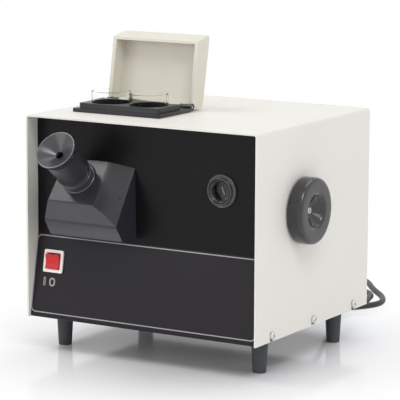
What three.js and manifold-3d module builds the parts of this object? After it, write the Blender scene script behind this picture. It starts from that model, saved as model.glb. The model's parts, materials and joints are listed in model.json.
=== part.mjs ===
import * as THREE from 'three';
import { mergeVertices } from 'three/addons/utils/BufferGeometryUtils.js';
import Module from 'manifold-3d';

// Oil colorimeter: a bench instrument in which the light through a jar of oil is compared, in an
// inclined eyepiece, with the light through a glass of known colour on a wheel turned by a side knob.
// Millimetres, +X to the right along the front, +Y to the back, +Z up, the bench at z = 0.

const wasm = await Module();
wasm.setup();

// Fits
const seat = 0.3; // gap between pieces that touch
const running = 0.25; // radial clearance of a turning shaft in its bush
const overrun = 2; // how far a cutter runs past the face it opens

// Cabinet
const cabinetWidth = 260;
const cabinetDepth = 230;
const cabinetHeight = 201.5;
const footHeight = 33.5;
const sheet = 1.8; // steel of the cover
const coverBend = 3; // outer radius of the cover's two folds
const traySheet = 1.5; // steel of the base tray and the brackets
const trayFlange = 14;
const panelRecess = 17; // front panel behind the cover's front edge
const panelThickness = 2;
const rearInset = 1; // rear panel inside the cover's rear edge
const rearThickness = 1.8;

// Console plate, folded, sloping out below the front panel
const consoleTop = 82.5; // above the cover's lower edge
const consoleReach = 3; // its foot stays this far behind the cover's front edge
const consoleSkirt = 4.6;
const consoleLip = 10;
const consoleThickness = 2;

// Feet and side screws
const footTopRadius = 8;
const footBottomRadius = 6;
const footStudRadius = 3;
const footInsetSide = 18;
const footInsetFront = 40;
const footInsetRear = 39;
const sideScrewRise = 6; // above the cover's lower edge
const sideScrewShares = [0.135, 0.496, 0.865]; // of the depth, from the front edge
const screwHeadRadius = 4;
const screwHeadHeight = 2.4;
const screwShankRadius = 2;
const screwLength = 9;
const slotPlay = 2;

// Optics: two beams run to the front, side by side, at the height of the jars' middle
const opticsX = -54; // middle of the pair of beams
const beamSpacing = 44;
const beamHole = 9; // radius
const beamRise = 21.3; // of the beams above the drive's shafts

// Jars
const jarRadius = 19.3;
const jarWall = 1.7;
const jarFloor = 2.2;
const jarHeight = 125;
const jarCornerRadius = 3;
const jarRimAboveTop = 20.2; // above the cabinet's top
const jarFromFront = 70;

// Jar block: a flanged plate on the cabinet's top with a raised block and a spigot below
const plateMargin = 4.5; // beside the block
const plateThickness = 3.5;
const plateFromFront = 43.7;
const blockEndWall = 4.35; // beside the wells
const blockDepth = 42;
const blockRise = 5;
const blockCorner = 1.5;
const spigotInset = 2; // at each end of the block
const spigotDepth = 41.4;
const spigotDrop = 6;
const wellClearance = 0.35; // round a jar

// Jar cage: a folded strap hung below the block
const cageDepth = 42;
const cageSheet = 2;
const cageRingWall = 1.2;
const cageRingHeight = 3;

// Lid, open as in use: its rim leans back from the hinge
const lidInset = 0.5; // inside the plate's ends
const lidRim = 65; // length of the rim from the hinge to the free end
const lidDepthAtHinge = 19;
const lidDepthAtEnd = 21;
const lidLip = 8.8; // how far the free end slants out for the fingers
const lidWall = 2.5;
const lidSideWall = 3.8;
const lidCorner = 3;
const lidEndCorner = 4.5; // the two corners at the free end
const lidLean = 9.5; // degrees past upright
const hingeFromFront = 107;
const hingePinRadius = 1.5;
const hingeKnuckleRadius = 3;
const hingeKnuckleLength = 14;
const hingeRise = 0.6; // hinge line above the plate

// Eyepiece housing: a hollow casting on the front panel
const housingWidth = 80;
const housingNose = 31; // from the panel to the upper edge of its front
const housingChin = 36; // from the panel to its foremost fold
const housingToe = 24.5; // from the panel to its lower edge
const housingFoot = 4.7; // above the console's top edge
const housingChinRise = 16.1;
const housingFrontRise = 18.5;
const faceSlope = 51; // degrees, the face that carries the eyepiece
const housingWall = 3;
const housingCorner = 1.2;
const housingDraft = 1.6; // how far each side leans out on its way down
const facetWidth = 30.6; // the shoulder beside the eyepiece face
const facetDrop = 11; // how far the shoulder falls at the front
const facetDropAtPanel = 3.6;
const facetCurve = 1.1;
const facetSteps = 6;

// Eyepiece
const eyepieceX = -69;
const eyepieceUp = 27; // from the nose edge along the sloping face
const collarFlangeRadius = 18.6;
const collarFlangeThickness = 2.5;
const collarNeckRadius = 14.5;
const collarHeight = 13;
const collarWall = 1.7;
const collarSpigot = 2.5;
const barrelRadius = 17.2;
const barrelLength = 39.5;
const cupRadius = 20.3;
const cupFlare = 9;
const cupEdge = 1.2;
const funnelDepth = 9;
const eyeHoleRadius = 3.6;
const eyeHoleLength = 4;
const lensChamberRadius = 9;
const spigotEngagement = 13;
const lensThickness = 4.6;
const lensBulge = 1.5;

// Prism behind the sloping face
const prismEndGap = 6; // inside the housing's ends
const prismHeight = 22;
const prismDepth = 14.5;
const prismDrop = 12; // its lower edge below the beams

// Window over the wheel
const windowRise = 23.9; // of its middle above the drive's shafts
const bezelRadius = 16;
const bezelFlange = 2.5;
const bezelRingRadius = 13.4;
const bezelHeight = 6;
const bezelEdge = 1;
const bezelBore = 9.8;
const glassRadius = 11;
const glassThickness = 2;
const bezelSpigotRadius = 12.6;
const bezelSpigot = 5;

// Mains switch on the console
const switchX = -105.5;
const switchSize = 22.5;
const switchBezel = 1.8;
const switchBody = 18.5;
const switchBodyDepth = 20;
const switchWell = 16.2;
const switchWellDepth = 9;
const switchUp = 52.4; // its middle, up the slope from the fold
const rockerWidth = 15.4;
const rockerHalf = 7.2;
const rockerSide = 5;
const rockerDip = 1.6;
const rockerDepth = 4;
const rockerEdge = 0.8;
const rockerTravel = 14; // degrees
const terminalWidth = 4.8;
const terminalLength = 7;
const terminalThickness = 0.8;

// Knob and drive
const driveFromFront = 87.5;
const driveHeight = 118.5; // shafts above the cover's lower edge
const wheelX = 26; // axis of the colour wheel
const knobRadius = 32.4;
const knobThickness = 15.6;
const knobStandOff = 1.2;
const knobEdge = 3.4;
const dishRadius = 15.8;
const dishLip = 2.5;
const dishDepth = 9.4;
const dishFloorRadius = 4.6;
const knobHubDepth = 4;
const shaftRadius = 4;
const knobScrewHead = 3.6;
const knobScrewHeadHeight = 1.6;
const knobScrewShank = 1.6;
const knobScrewLength = 9;
const collarStep = 1.6; // shoulders on the shafts, above the shaft's radius
const collarLength = 3;
const bushRadius = 6.5;
const bushFlange = 9;
const bushFlangeThickness = 1.6;
const bracketThickness = 3;
const bracketHalfWidth = 20;
const bracketFoot = 14;

// Mitre gears
const gearTeeth = 16;
const gearPitchRadius = 20;
const gearFace = 8;
const gearAddendum = 1.7;
const gearDedendum = 2.6;
const gearToothTipShare = 0.15; // of a tooth pitch, half width at the tip
const gearToothRootShare = 0.3;
const gearHubLength = 7;
const gearHubRadius = 9;

// Colour wheel
const wheelRadius = 74;
const wheelThickness = 3;
const wheelFromFront = 30;
const wheelStations = 17; // sixteen colours and one open place
const stationRadius = 6;
const stationDepth = 2;
const stationFacets = 16;
const wheelHubRadius = 11;
const wheelHubLength = 6;

// Lamp
const lampHouseWidth = 100;
const lampHouseDepth = 58;
const lampHouseHeight = 186;
const lampHouseFromFront = 96;
const lampHouseSheet = 1.2;
const lampSlotCount = 5;
const lampSlotWidth = 60;
const lampSlotDepth = 4;
const lampSlotPitch = 10;
const lampFromFront = 124;
const lampHolderRadius = 11;
const lampHolderFlange = 15;
const lampHolderFlangeThickness = 2;
const lampHolderHeight = 20;
const lampHolderBoreDepth = 14;
const lampCapRadius = 7.4;
const lampBulbRadius = 16;
const lampNeck = 12;
const diffuserHeight = 84;
const diffuserThickness = 3;

// Power supply
const coreWidth = 66;
const coreDepth = 22;
const coreHeight = 55;
const coilWidth = 44;
const coilDepth = 46;
const coilHeight = 34;
const coilCorner = 5;
const coreX = 70;
const coreFromFront = 165;
const coreFootLength = 86;
const coreFootDepth = 14;
const coreFootThickness = 2;
const blockTerminals = 4;
const blockTerminalPitch = 10;
const blockTerminalDepth = 16;
const blockTerminalHeight = 14;
const blockTerminalBore = 2.2;
const blockX = 8;
const blockFromFront = 200;

// Rear panel
const ventRows = 7;
const ventPitch = 9;
const ventSlotWidth = 60;
const ventSlotHeight = 3.4;
const ventX = -54;
const ventZ = 150;

// Mains lead
const leadDiameter = 6.4;
const leadExitX = 40;
const leadExitZ = 52;
const leadSides = 10;
const leadSteps = 54;
const reliefLength = 30;
const reliefRootRadius = 7;
const reliefTipRadius = 5;
const reliefFlangeRadius = 10;
const reliefFlangeThickness = 2.5;
const reliefNeckRadius = 6;
const reliefGrooves = 4;
const reliefGrooveDepth = 0.9;
const coilOuterRadius = 46; // at the lead's middle
const coilPitch = 7.2; // from turn to turn and from layer to layer
const coilTurnsPerLayer = 2.5;
const coilStepsPerTurn = 24;
const coilSides = 6;
const coilTail = 24; // straight, to the plug
const coilX = -40;
const coilY = 205;
const plugLength = 30;
const plugWidth = 35;
const plugThickness = 26;
const plugNeckRadius = 6;
const plugNeckLength = 16;
const plugCorner = 4;
const pinLength = 17;
const pinWidth = 6.3;
const pinThickness = 1.6;
const pinSpread = 7.9;
const pinSlant = 30; // degrees
const pinRise = 3.4; // of the two slanted blades above the plug's middle
const earthPinDrop = 10.3;

// Facets
const fineFacets = 32;
const roundFacets = 24;
const smallFacets = 12;
const cornerSteps = 3;

// Places worked out from the driving sizes
const frontY = -cabinetDepth / 2;
const rearY = cabinetDepth / 2;
const rightX = cabinetWidth / 2;
const coverBottomZ = footHeight;
const coverTopZ = footHeight + cabinetHeight;
const panelY = frontY + panelRecess; // front face of the front panel
const driveZ = coverBottomZ + driveHeight;
const driveY = frontY + driveFromFront;
const beamX = [opticsX - beamSpacing / 2, opticsX + beamSpacing / 2];
const beamZ = driveZ + beamRise;
const wheelRing = Math.hypot(wheelX - beamX[1], beamRise); // radius of the ring of colour glasses
const windowX = wheelX + Math.sqrt(wheelRing ** 2 - windowRise ** 2);
const windowZ = driveZ + windowRise;
const trayTopZ = coverBottomZ + traySheet;
const consoleTopZ = coverBottomZ + consoleTop;
const slopeTop = [panelY - seat, consoleTopZ]; // the console's outer face, as (y, z)
const slopeFoot = [frontY + consoleReach, coverBottomZ + consoleSkirt];
const consoleAngle = Math.atan2(slopeTop[0] - slopeFoot[0], slopeTop[1] - slopeFoot[1]);
const switchMiddle = [
  slopeFoot[0] + switchUp * Math.sin(consoleAngle),
  slopeFoot[1] + switchUp * Math.cos(consoleAngle),
];
const degrees = Math.PI / 180;

// Finishes
const finishes = {
  paint: { color: 0xe9e6de, roughness: 0.45, metalness: 0 },
  panel: { color: 0x201f22, roughness: 0.25, metalness: 0 },
  console: { color: 0x333036, roughness: 0.4, metalness: 0 },
  casting: { color: 0x4a494e, roughness: 0.5, metalness: 0 },
  rubber: { color: 0x2b2d2f, roughness: 0.8, metalness: 0 },
  steel: { color: 0xb9bbbd, roughness: 0.35, metalness: 1 },
  brass: { color: 0xc2a45c, roughness: 0.35, metalness: 1 },
  bronze: { color: 0x9b7444, roughness: 0.45, metalness: 1 },
  zinc: { color: 0x9c9fa2, roughness: 0.5, metalness: 1 },
  glass: { color: 0xe6efee, roughness: 0.03, metalness: 0, transparent: true, opacity: 0.35 },
  opal: { color: 0xf2f2ee, roughness: 0.6, metalness: 0 },
  moulding: { color: 0xdcd9cd, roughness: 0.5, metalness: 0 },
  black: { color: 0x26262a, roughness: 0.45, metalness: 0 },
  knob: { color: 0x3c3c3f, roughness: 0.3, metalness: 0 },
  white: { color: 0xf3e9e4, roughness: 0.4, metalness: 0 },
  red: { color: 0xd62c30, roughness: 0.25, metalness: 0 },
  wheel: { color: 0x222224, roughness: 0.4, metalness: 0 },
  lead: { color: 0x1d1d1e, roughness: 0.55, metalness: 0 },
};

const instrument = new THREE.Group();

function add(name, geometry, finish, at = [0, 0, 0], tilt = 0) {
  const mesh = new THREE.Mesh(geometry, new THREE.MeshStandardMaterial(finishes[finish]));
  mesh.name = name;
  mesh.position.set(...at);
  mesh.rotation.x = tilt;
  instrument.add(mesh);
  return mesh;
}

// Solids

function solidOf(geometry) {
  const bare = geometry.clone();
  bare.deleteAttribute('normal');
  bare.deleteAttribute('uv');
  const merged = mergeVertices(bare);
  return new wasm.Manifold(new wasm.Mesh({
    numProp: 3,
    vertProperties: Float32Array.from(merged.attributes.position.array),
    triVerts: Uint32Array.from(merged.index.array),
  }));
}

function geometryOf(solid) {
  const mesh = solid.getMesh();
  const geometry = new THREE.BufferGeometry();
  geometry.setAttribute('position', new THREE.BufferAttribute(mesh.vertProperties, 3));
  geometry.setIndex(new THREE.BufferAttribute(mesh.triVerts, 1));
  return geometry;
}

function cut(body, ...tools) {
  let solid = solidOf(body);
  for (const tool of tools) solid = solid.subtract(solidOf(tool));
  return geometryOf(solid);
}

function join(first, ...others) {
  let solid = solidOf(first);
  for (const other of others) solid = solid.add(solidOf(other));
  return geometryOf(solid);
}

function common(first, second) {
  return geometryOf(solidOf(first).intersect(solidOf(second)));
}

// Shapes and sweeps

function block(from, to) {
  const size = to.map((v, i) => v - from[i]);
  const middle = to.map((v, i) => (v + from[i]) / 2);
  return new THREE.BoxGeometry(...size).translate(...middle);
}

// A closed outline of [across, up, corner radius] points, round where the radius isn't zero.
function outline(corners) {
  const shape = new THREE.Shape();
  const count = corners.length;
  corners.forEach(([x, y, radius = 0], i) => {
    const before = corners[(i + count - 1) % count];
    const after = corners[(i + 1) % count];
    const back = new THREE.Vector2(before[0] - x, before[1] - y);
    const ahead = new THREE.Vector2(after[0] - x, after[1] - y);
    const reach = Math.min(radius, back.length() / 2, ahead.length() / 2);
    const start = back.setLength(reach).add(new THREE.Vector2(x, y));
    const end = ahead.setLength(reach).add(new THREE.Vector2(x, y));
    if (i === 0) shape.moveTo(start.x, start.y);
    else shape.lineTo(start.x, start.y);
    if (reach > 0) shape.quadraticCurveTo(x, y, end.x, end.y);
  });
  shape.closePath();
  return shape;
}

function slab(shape, depth) {
  return new THREE.ExtrudeGeometry(shape, { depth, bevelEnabled: false, curveSegments: cornerSteps });
}

// An outline in (y, z) drawn out along X, starting at x.
function alongX(corners, x, width) {
  const turn = new THREE.Matrix4().makeBasis(
    new THREE.Vector3(0, 1, 0), new THREE.Vector3(0, 0, 1), new THREE.Vector3(1, 0, 0));
  return slab(outline(corners), width).applyMatrix4(turn).translate(x, 0, 0);
}

// An outline in (x, z) drawn out along Y, starting at y.
function alongY(corners, y, depth) {
  const turn = new THREE.Matrix4().makeBasis(
    new THREE.Vector3(1, 0, 0), new THREE.Vector3(0, 0, 1), new THREE.Vector3(0, -1, 0));
  return slab(outline(corners), depth).applyMatrix4(turn).translate(0, y + depth, 0);
}

// An outline in (x, y) drawn up from z.
function upwards(corners, z, height) {
  return slab(outline(corners), height).translate(0, 0, z);
}

function rectangle(width, height, x, y, radius = 0) {
  return [
    [x - width / 2, y - height / 2, radius],
    [x + width / 2, y - height / 2, radius],
    [x + width / 2, y + height / 2, radius],
    [x - width / 2, y + height / 2, radius],
  ];
}

// A piece turned on a lathe from [radius, height] points, given up the outside; its axis is Z, X or Y.
function turned(points, axis = 'z', facets = roundFacets) {
  const profile = points.map(([radius, height]) => new THREE.Vector2(radius, height));
  const geometry = new THREE.LatheGeometry(profile, facets);
  if (axis === 'z') geometry.rotateX(Math.PI / 2);
  if (axis === 'x') geometry.rotateZ(-Math.PI / 2);
  return geometry;
}

function rod(radius, from, to, axis = 'z', facets = roundFacets) {
  return turned([[0, from], [radius, from], [radius, to], [0, to]], axis, facets);
}

// A ring or sleeve: closed on itself, between two radii.
function sleeve(inner, outer, from, to, axis = 'z', facets = roundFacets) {
  return turned([[inner, from], [outer, from], [outer, to], [inner, to], [inner, from]], axis, facets);
}

// A tube of a round section along a smooth curve.
function tube(points, radius, sides, steps) {
  const path = new THREE.CatmullRomCurve3(points, false, 'centripetal');
  const section = new THREE.Shape();
  for (let i = 0; i < sides; i += 1) {
    const angle = (i / sides) * 2 * Math.PI;
    const x = radius * Math.cos(angle);
    const y = radius * Math.sin(angle);
    if (i === 0) section.moveTo(x, y);
    else section.lineTo(x, y);
  }
  section.closePath();
  return new THREE.ExtrudeGeometry(section, { steps, extrudePath: path, curveSegments: 1 });
}

// A skin over rings of as many points each, whose way round is to the left seen from the last ring.
// It is closed by flat ends, or in a loop when its last ring joins its first.
function skin(rings, looped = false) {
  const count = rings[0].length;
  const triangles = [];
  const spans = looped ? rings.length : rings.length - 1;
  for (let r = 0; r < spans; r += 1) {
    const here = r * count;
    const next = ((r + 1) % rings.length) * count;
    for (let i = 0; i < count; i += 1) {
      const j = (i + 1) % count;
      triangles.push(here + i, here + j, next + j, here + i, next + j, next + i);
    }
  }
  if (!looped) {
    const last = (rings.length - 1) * count;
    for (let i = 1; i < count - 1; i += 1) {
      triangles.push(0, i + 1, i, last, last + i, last + i + 1);
    }
  }
  const geometry = new THREE.BufferGeometry();
  const places = rings.flat().flatMap((point) => point.toArray());
  geometry.setAttribute('position', new THREE.Float32BufferAttribute(places, 3));
  geometry.setIndex(triangles);
  return geometry;
}

// Cover: a folded steel shell, open at the front, the back and below

const jarY = frontY + jarFromFront;
const wellRadius = jarRadius + wellClearance;
const cageWidth = beamSpacing + 2 * (wellRadius + cageSheet);
const blockWidth = beamSpacing + 2 * (wellRadius + blockEndWall);
const plateWidth = blockWidth + 2 * plateMargin;
const spigotWidth = blockWidth - 2 * spigotInset;
const lidWidth = plateWidth - 2 * lidInset;
const screwZ = coverBottomZ + sideScrewRise;
const sideScrewPlaces = sideScrewShares.map((share) => share * cabinetDepth);
const slotWidth = 2 * screwShankRadius + slotPlay;

function coverShell() {
  const left = -rightX;
  const inside = sheet;
  const shell = alongY([
    [left, coverBottomZ],
    [left + inside, coverBottomZ],
    [left + inside, coverTopZ - inside, coverBend - inside],
    [rightX - inside, coverTopZ - inside, coverBend - inside],
    [rightX - inside, coverBottomZ],
    [rightX, coverBottomZ],
    [rightX, coverTopZ, coverBend],
    [left, coverTopZ, coverBend],
  ], frontY, cabinetDepth);
  const well = block(
    [opticsX - spigotWidth / 2 - 2 * seat, jarY - spigotDepth / 2 - 2 * seat, coverTopZ - sheet - overrun],
    [opticsX + spigotWidth / 2 + 2 * seat, jarY + spigotDepth / 2 + 2 * seat, coverTopZ + overrun]);
  const shaftHole = rod(bushRadius + seat, rightX - sheet - overrun, rightX + overrun, 'x')
    .translate(0, driveY, driveZ);
  const slots = sideScrewPlaces.map((place) => block(
    [left - overrun, frontY + place - slotWidth / 2, coverBottomZ - overrun],
    [rightX + overrun, frontY + place + slotWidth / 2, screwZ + slotWidth / 2]));
  return cut(shell, well, shaftHole, ...slots);
}
add('cover_shell', coverShell(), 'paint');

// Base tray with side flanges for the screws

const trayHalf = rightX - sheet - seat;
const trayFrontY = panelY + panelThickness + seat;
const trayRearY = rearY - rearInset - rearThickness - seat;

const feet = [
  ['foot_front_left', -rightX + footInsetSide, frontY + footInsetFront],
  ['foot_front_right', rightX - footInsetSide, frontY + footInsetFront],
  ['foot_rear_left', -rightX + footInsetSide, rearY - footInsetRear],
  ['foot_rear_right', rightX - footInsetSide, rearY - footInsetRear],
];

function baseTray() {
  const low = coverBottomZ;
  const high = coverBottomZ + trayFlange;
  const tray = alongY([
    [-trayHalf, low, traySheet],
    [trayHalf, low, traySheet],
    [trayHalf, high],
    [trayHalf - traySheet, high],
    [trayHalf - traySheet, low + traySheet],
    [traySheet - trayHalf, low + traySheet],
    [traySheet - trayHalf, high],
    [-trayHalf, high],
  ], trayFrontY, trayRearY - trayFrontY);
  const screwHoles = sideScrewPlaces.map((place) => rod(
    screwShankRadius + seat, -trayHalf - overrun, trayHalf + overrun, 'x', smallFacets)
    .translate(0, frontY + place, screwZ));
  const studHoles = feet.map(([, x, y]) => rod(
    footStudRadius + seat, low - overrun, low + traySheet + overrun, 'z', smallFacets)
    .translate(x, y, 0));
  return cut(tray, ...screwHoles, ...studHoles);
}
add('base_tray', baseTray(), 'zinc');

// Feet: tapered rubber with a moulded stud through the tray

function foot() {
  const top = footHeight - seat;
  const chamfer = 1;
  return turned([
    [0, 0],
    [footBottomRadius - chamfer, 0],
    [footBottomRadius, chamfer],
    [footTopRadius, top - chamfer],
    [footTopRadius, top],
    [footStudRadius, top],
    [footStudRadius, footHeight + traySheet + chamfer],
    [0, footHeight + traySheet + chamfer],
  ], 'z', roundFacets);
}
for (const [name, x, y] of feet) add(name, foot(), 'rubber', [x, y, 0]);

// Side screws: cheese heads on the cover, shanks in the tray's flanges

function sideScrew(side) {
  const under = rightX + seat;
  const head = turned([
    [0, under - screwLength],
    [screwShankRadius, under - screwLength],
    [screwShankRadius, under],
    [screwHeadRadius, under],
    [screwHeadRadius, under + screwHeadHeight * 2 / 3],
    [screwHeadRadius * 3 / 4, under + screwHeadHeight],
    [0, under + screwHeadHeight],
  ], 'x', smallFacets);
  const slot = block(
    [under + screwHeadHeight / 2, -screwHeadRadius - overrun, -screwHeadHeight / 6],
    [under + screwHeadHeight + overrun, screwHeadRadius + overrun, screwHeadHeight / 6]);
  const screw = cut(head, slot);
  return side < 0 ? screw.rotateZ(Math.PI) : screw;
}
sideScrewPlaces.forEach((place, i) => {
  const y = frontY + place;
  add(`side_screw_right_${i + 1}`, sideScrew(1), 'steel', [0, y, screwZ]);
  add(`side_screw_left_${i + 1}`, sideScrew(-1), 'steel', [0, y, screwZ]);
});

// Front panel, with the beams' holes behind the housing and the window's hole

const panelHalf = trayHalf;
const panelTopZ = coverTopZ - sheet - seat;

function frontPanel() {
  const panel = alongY(rectangle(
    2 * panelHalf, panelTopZ - coverBottomZ, 0, (panelTopZ + coverBottomZ) / 2), panelY, panelThickness);
  const through = [-overrun, panelThickness + overrun];
  const beams = beamX.map((x) => rod(beamHole, ...through, 'y').translate(x, panelY, beamZ));
  const window = rod(bezelSpigotRadius + seat, ...through, 'y').translate(windowX, panelY, windowZ);
  const behind = 2 * overrun + switchBodyDepth * Math.sin(consoleAngle);
  const [, middleZ] = switchMiddle;
  const switchOpening = block(
    [switchX - switchBody / 2 - overrun, panelY - overrun, middleZ - switchBody / 2 - behind],
    [switchX + switchBody / 2 + overrun, panelY + panelThickness + overrun,
      middleZ + switchBody / 2 + overrun]);
  return cut(panel, ...beams, window, switchOpening);
}
add('front_panel', frontPanel(), 'panel');

// Console plate: its upper edge lies on the front panel and its skirt stands near the cover's edge

// Moves a geometry from the switch's own frame, +Z out of the console, to its place.
function ontoConsole(geometry) {
  return geometry.rotateX(Math.PI / 2 - consoleAngle).translate(switchX, ...switchMiddle);
}

function consolePlate() {
  const wall = consoleThickness;
  const slant = wall / Math.cos(consoleAngle);
  const plate = alongX([
    [slopeTop[0], slopeTop[1]],
    [slopeFoot[0], slopeFoot[1], wall],
    [slopeFoot[0], coverBottomZ, wall],
    [slopeFoot[0] + consoleLip, coverBottomZ],
    [slopeFoot[0] + consoleLip, coverBottomZ + wall],
    [slopeFoot[0] + wall, coverBottomZ + wall],
    [slopeFoot[0] + slant, slopeFoot[1]],
    [slopeTop[0], slopeFoot[1] + (slopeTop[0] - slopeFoot[0] - slant) / Math.tan(consoleAngle)],
  ], -panelHalf, 2 * panelHalf);
  const hole = ontoConsole(block(
    [-switchBody / 2 - seat, -switchBody / 2 - seat, -slant - wall - overrun],
    [switchBody / 2 + seat, switchBody / 2 + seat, overrun]));
  return cut(plate, hole);
}
add('console_plate', consolePlate(), 'console');

// Mains switch: a square bezel with its body behind the plate, and a rocker

function switchCase() {
  const bezel = upwards(rectangle(switchSize, switchSize, 0, 0, switchBezel), seat, switchBezel);
  const body = block(
    [-switchBody / 2, -switchBody / 2, -switchBodyDepth],
    [switchBody / 2, switchBody / 2, seat + switchBezel / 2]);
  const terminals = [-1, 1].map((side) => block(
    [-terminalWidth / 2, side * switchBody / 4 - terminalThickness / 2, -switchBodyDepth - terminalLength],
    [terminalWidth / 2, side * switchBody / 4 + terminalThickness / 2, -switchBodyDepth + overrun]));
  const well = block(
    [-switchWell / 2, -switchWell / 2, -switchWellDepth],
    [switchWell / 2, switchWell / 2, switchBezel + overrun]);
  return ontoConsole(cut(join(bezel, body, ...terminals), well));
}
add('switch_case', switchCase(), 'white');

function rocker() {
  const half = rockerHalf;
  const rest = rockerTravel / 2 * degrees;
  const wedge = alongX([
    [-half, -rockerDepth / 2, rockerEdge],
    [0, -rockerDepth],
    [half, -rockerDepth / 2, rockerEdge],
    [half, rockerSide, rockerEdge],
    [0, rockerSide - rockerDip, half],
    [-half, rockerSide, rockerEdge],
  ], -rockerWidth / 2, rockerWidth);
  return ontoConsole(wedge.rotateX(rest));
}
add('switch_rocker', rocker(), 'red');

// Eyepiece housing: nose, front and toe drawn along X, hollow from behind, with a falling shoulder

const housingLeft = opticsX - housingWidth / 2;
const housingRight = opticsX + housingWidth / 2;
const housingBackY = panelY - seat;
const toeZ = consoleTopZ + housingFoot;
const chinZ = toeZ + housingChinRise;
const noseZ = chinZ + housingFrontRise;
const noseY = panelY - housingNose;
const faceTan = Math.tan(faceSlope * degrees);
const browZ = noseZ + (housingBackY - noseY) * faceTan;

// Side outline of the housing, shrunk by a wall for its cavity.
function housingOutline(wall) {
  const slant = wall / Math.cos(faceSlope * degrees);
  const round = wall > 0 ? 0 : housingCorner;
  const back = wall > 0 ? housingBackY + overrun : housingBackY;
  return [
    [back, toeZ + wall],
    [panelY - housingToe + wall / 2, toeZ + wall, round],
    [panelY - housingChin + wall, chinZ, 2 * round],
    [noseY + wall, noseZ - slant + wall * faceTan, round],
    [back, noseZ - slant + (back - noseY) * faceTan],
  ];
}

// Moves the ends of an outline drawn along X outwards, from the brow down to the toe.
function drafted(geometry) {
  const places = geometry.attributes.position;
  for (let i = 0; i < places.count; i += 1) {
    const out = housingDraft * (browZ - places.getZ(i)) / (browZ - toeZ);
    places.setX(i, places.getX(i) + Math.sign(places.getX(i) - opticsX) * out);
  }
  return geometry;
}

// The space above the shoulder: ruled from the panel to the front, lowered by a wall for the cavity.
function aboveShoulder(wall) {
  const start = housingRight - facetWidth;
  const rows = [];
  for (let i = 0; i <= facetSteps; i += 1) {
    const across = i / facetSteps;
    const x = start + across * (facetWidth + overrun);
    const ends = [
      [housingBackY + overrun, facetDropAtPanel * across],
      [noseY - housingNose / 2, facetDrop * across ** facetCurve],
    ];
    rows.push(ends.map(([y, drop], end) => {
      const reach = end === 0 ? 1 : (housingBackY - y) / (housingBackY - noseY);
      const fall = end === 0 ? drop : facetDropAtPanel * across
        + (drop - facetDropAtPanel * across) * reach;
      return new THREE.Vector3(x, y, noseZ + (y - noseY) * faceTan - fall - wall);
    }));
  }
  return skin(rows.map(([back, front]) => [
    back, back.clone().setZ(coverTopZ + overrun), front.clone().setZ(coverTopZ + overrun), front]));
}

const eyeTilt = faceSlope * degrees; // turns +Z to the eyepiece's axis
const eyeFoot = [
  eyepieceX,
  noseY + eyepieceUp * Math.cos(faceSlope * degrees),
  noseZ + eyepieceUp * Math.sin(faceSlope * degrees),
];

function housing() {
  const outside = drafted(alongX(housingOutline(0), housingLeft, housingWidth));
  const inside = drafted(alongX(
    housingOutline(housingWall), housingLeft + housingWall, housingWidth - 2 * housingWall));
  const cavity = cut(inside, aboveShoulder(housingWall * 3 / 2));
  const bore = rod(collarNeckRadius, -housingNose, overrun).rotateX(eyeTilt).translate(...eyeFoot);
  return cut(outside, aboveShoulder(0), cavity, bore);
}
add('eyepiece_housing', housing(), 'casting');

// Prism: a glass wedge seated on the panel over both beams' holes

function prism() {
  const low = beamZ - prismDrop;
  const back = panelY - seat;
  return alongX([
    [back, low],
    [back, low + prismHeight],
    [back - prismDepth, low],
  ].reverse(), housingLeft + prismEndGap, housingWidth - 2 * prismEndGap);
}
add('prism', prism(), 'glass');

// Eyepiece: a collar screwed to the sloping face, the sliding barrel with its cup, and the lens

const collarBore = collarNeckRadius - collarWall - seat;
const barrelFoot = collarHeight + seat;

add('eyepiece_collar', turned([
  [collarBore, -collarSpigot],
  [collarNeckRadius - seat, -collarSpigot],
  [collarNeckRadius - seat, seat],
  [collarFlangeRadius, seat],
  [collarFlangeRadius, collarFlangeThickness * 2 / 3],
  [collarFlangeRadius - collarFlangeThickness / 3, collarFlangeThickness],
  [collarNeckRadius, collarFlangeThickness],
  [collarNeckRadius, collarHeight],
  [collarBore, collarHeight],
  [collarBore, -collarSpigot],
], 'z', fineFacets), 'casting', eyeFoot, eyeTilt);

const lensTop = barrelFoot + barrelLength - funnelDepth - eyeHoleLength - seat;

add('eyepiece_barrel', turned([
  [lensChamberRadius, barrelFoot - spigotEngagement],
  [collarBore - running, barrelFoot - spigotEngagement],
  [collarBore - running, barrelFoot],
  [barrelRadius, barrelFoot],
  [barrelRadius, barrelFoot + barrelLength - cupFlare],
  [cupRadius, barrelFoot + barrelLength],
  [cupRadius - cupEdge, barrelFoot + barrelLength],
  [eyeHoleRadius, barrelFoot + barrelLength - funnelDepth],
  [eyeHoleRadius, lensTop + seat],
  [lensChamberRadius, lensTop + seat],
  [lensChamberRadius, barrelFoot - spigotEngagement],
], 'z', fineFacets), 'casting', eyeFoot, eyeTilt);

function lens() {
  const radius = lensChamberRadius - running;
  const points = [[0, lensTop - lensThickness]];
  const steps = 4;
  for (let i = 1; i <= steps; i += 1) {
    const share = i / steps;
    points.push([radius * share, lensTop - lensThickness + lensBulge * share ** 2]);
  }
  for (let i = steps; i >= 0; i -= 1) {
    const share = i / steps;
    points.push([radius * share, lensTop - lensBulge * share ** 2]);
  }
  return turned(points, 'z', roundFacets);
}
add('eye_lens', lens(), 'glass', eyeFoot, eyeTilt);

// Window: a stepped bezel through the panel with its glass seated from behind

const ledge = bezelSpigot - glassThickness - seat;

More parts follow.
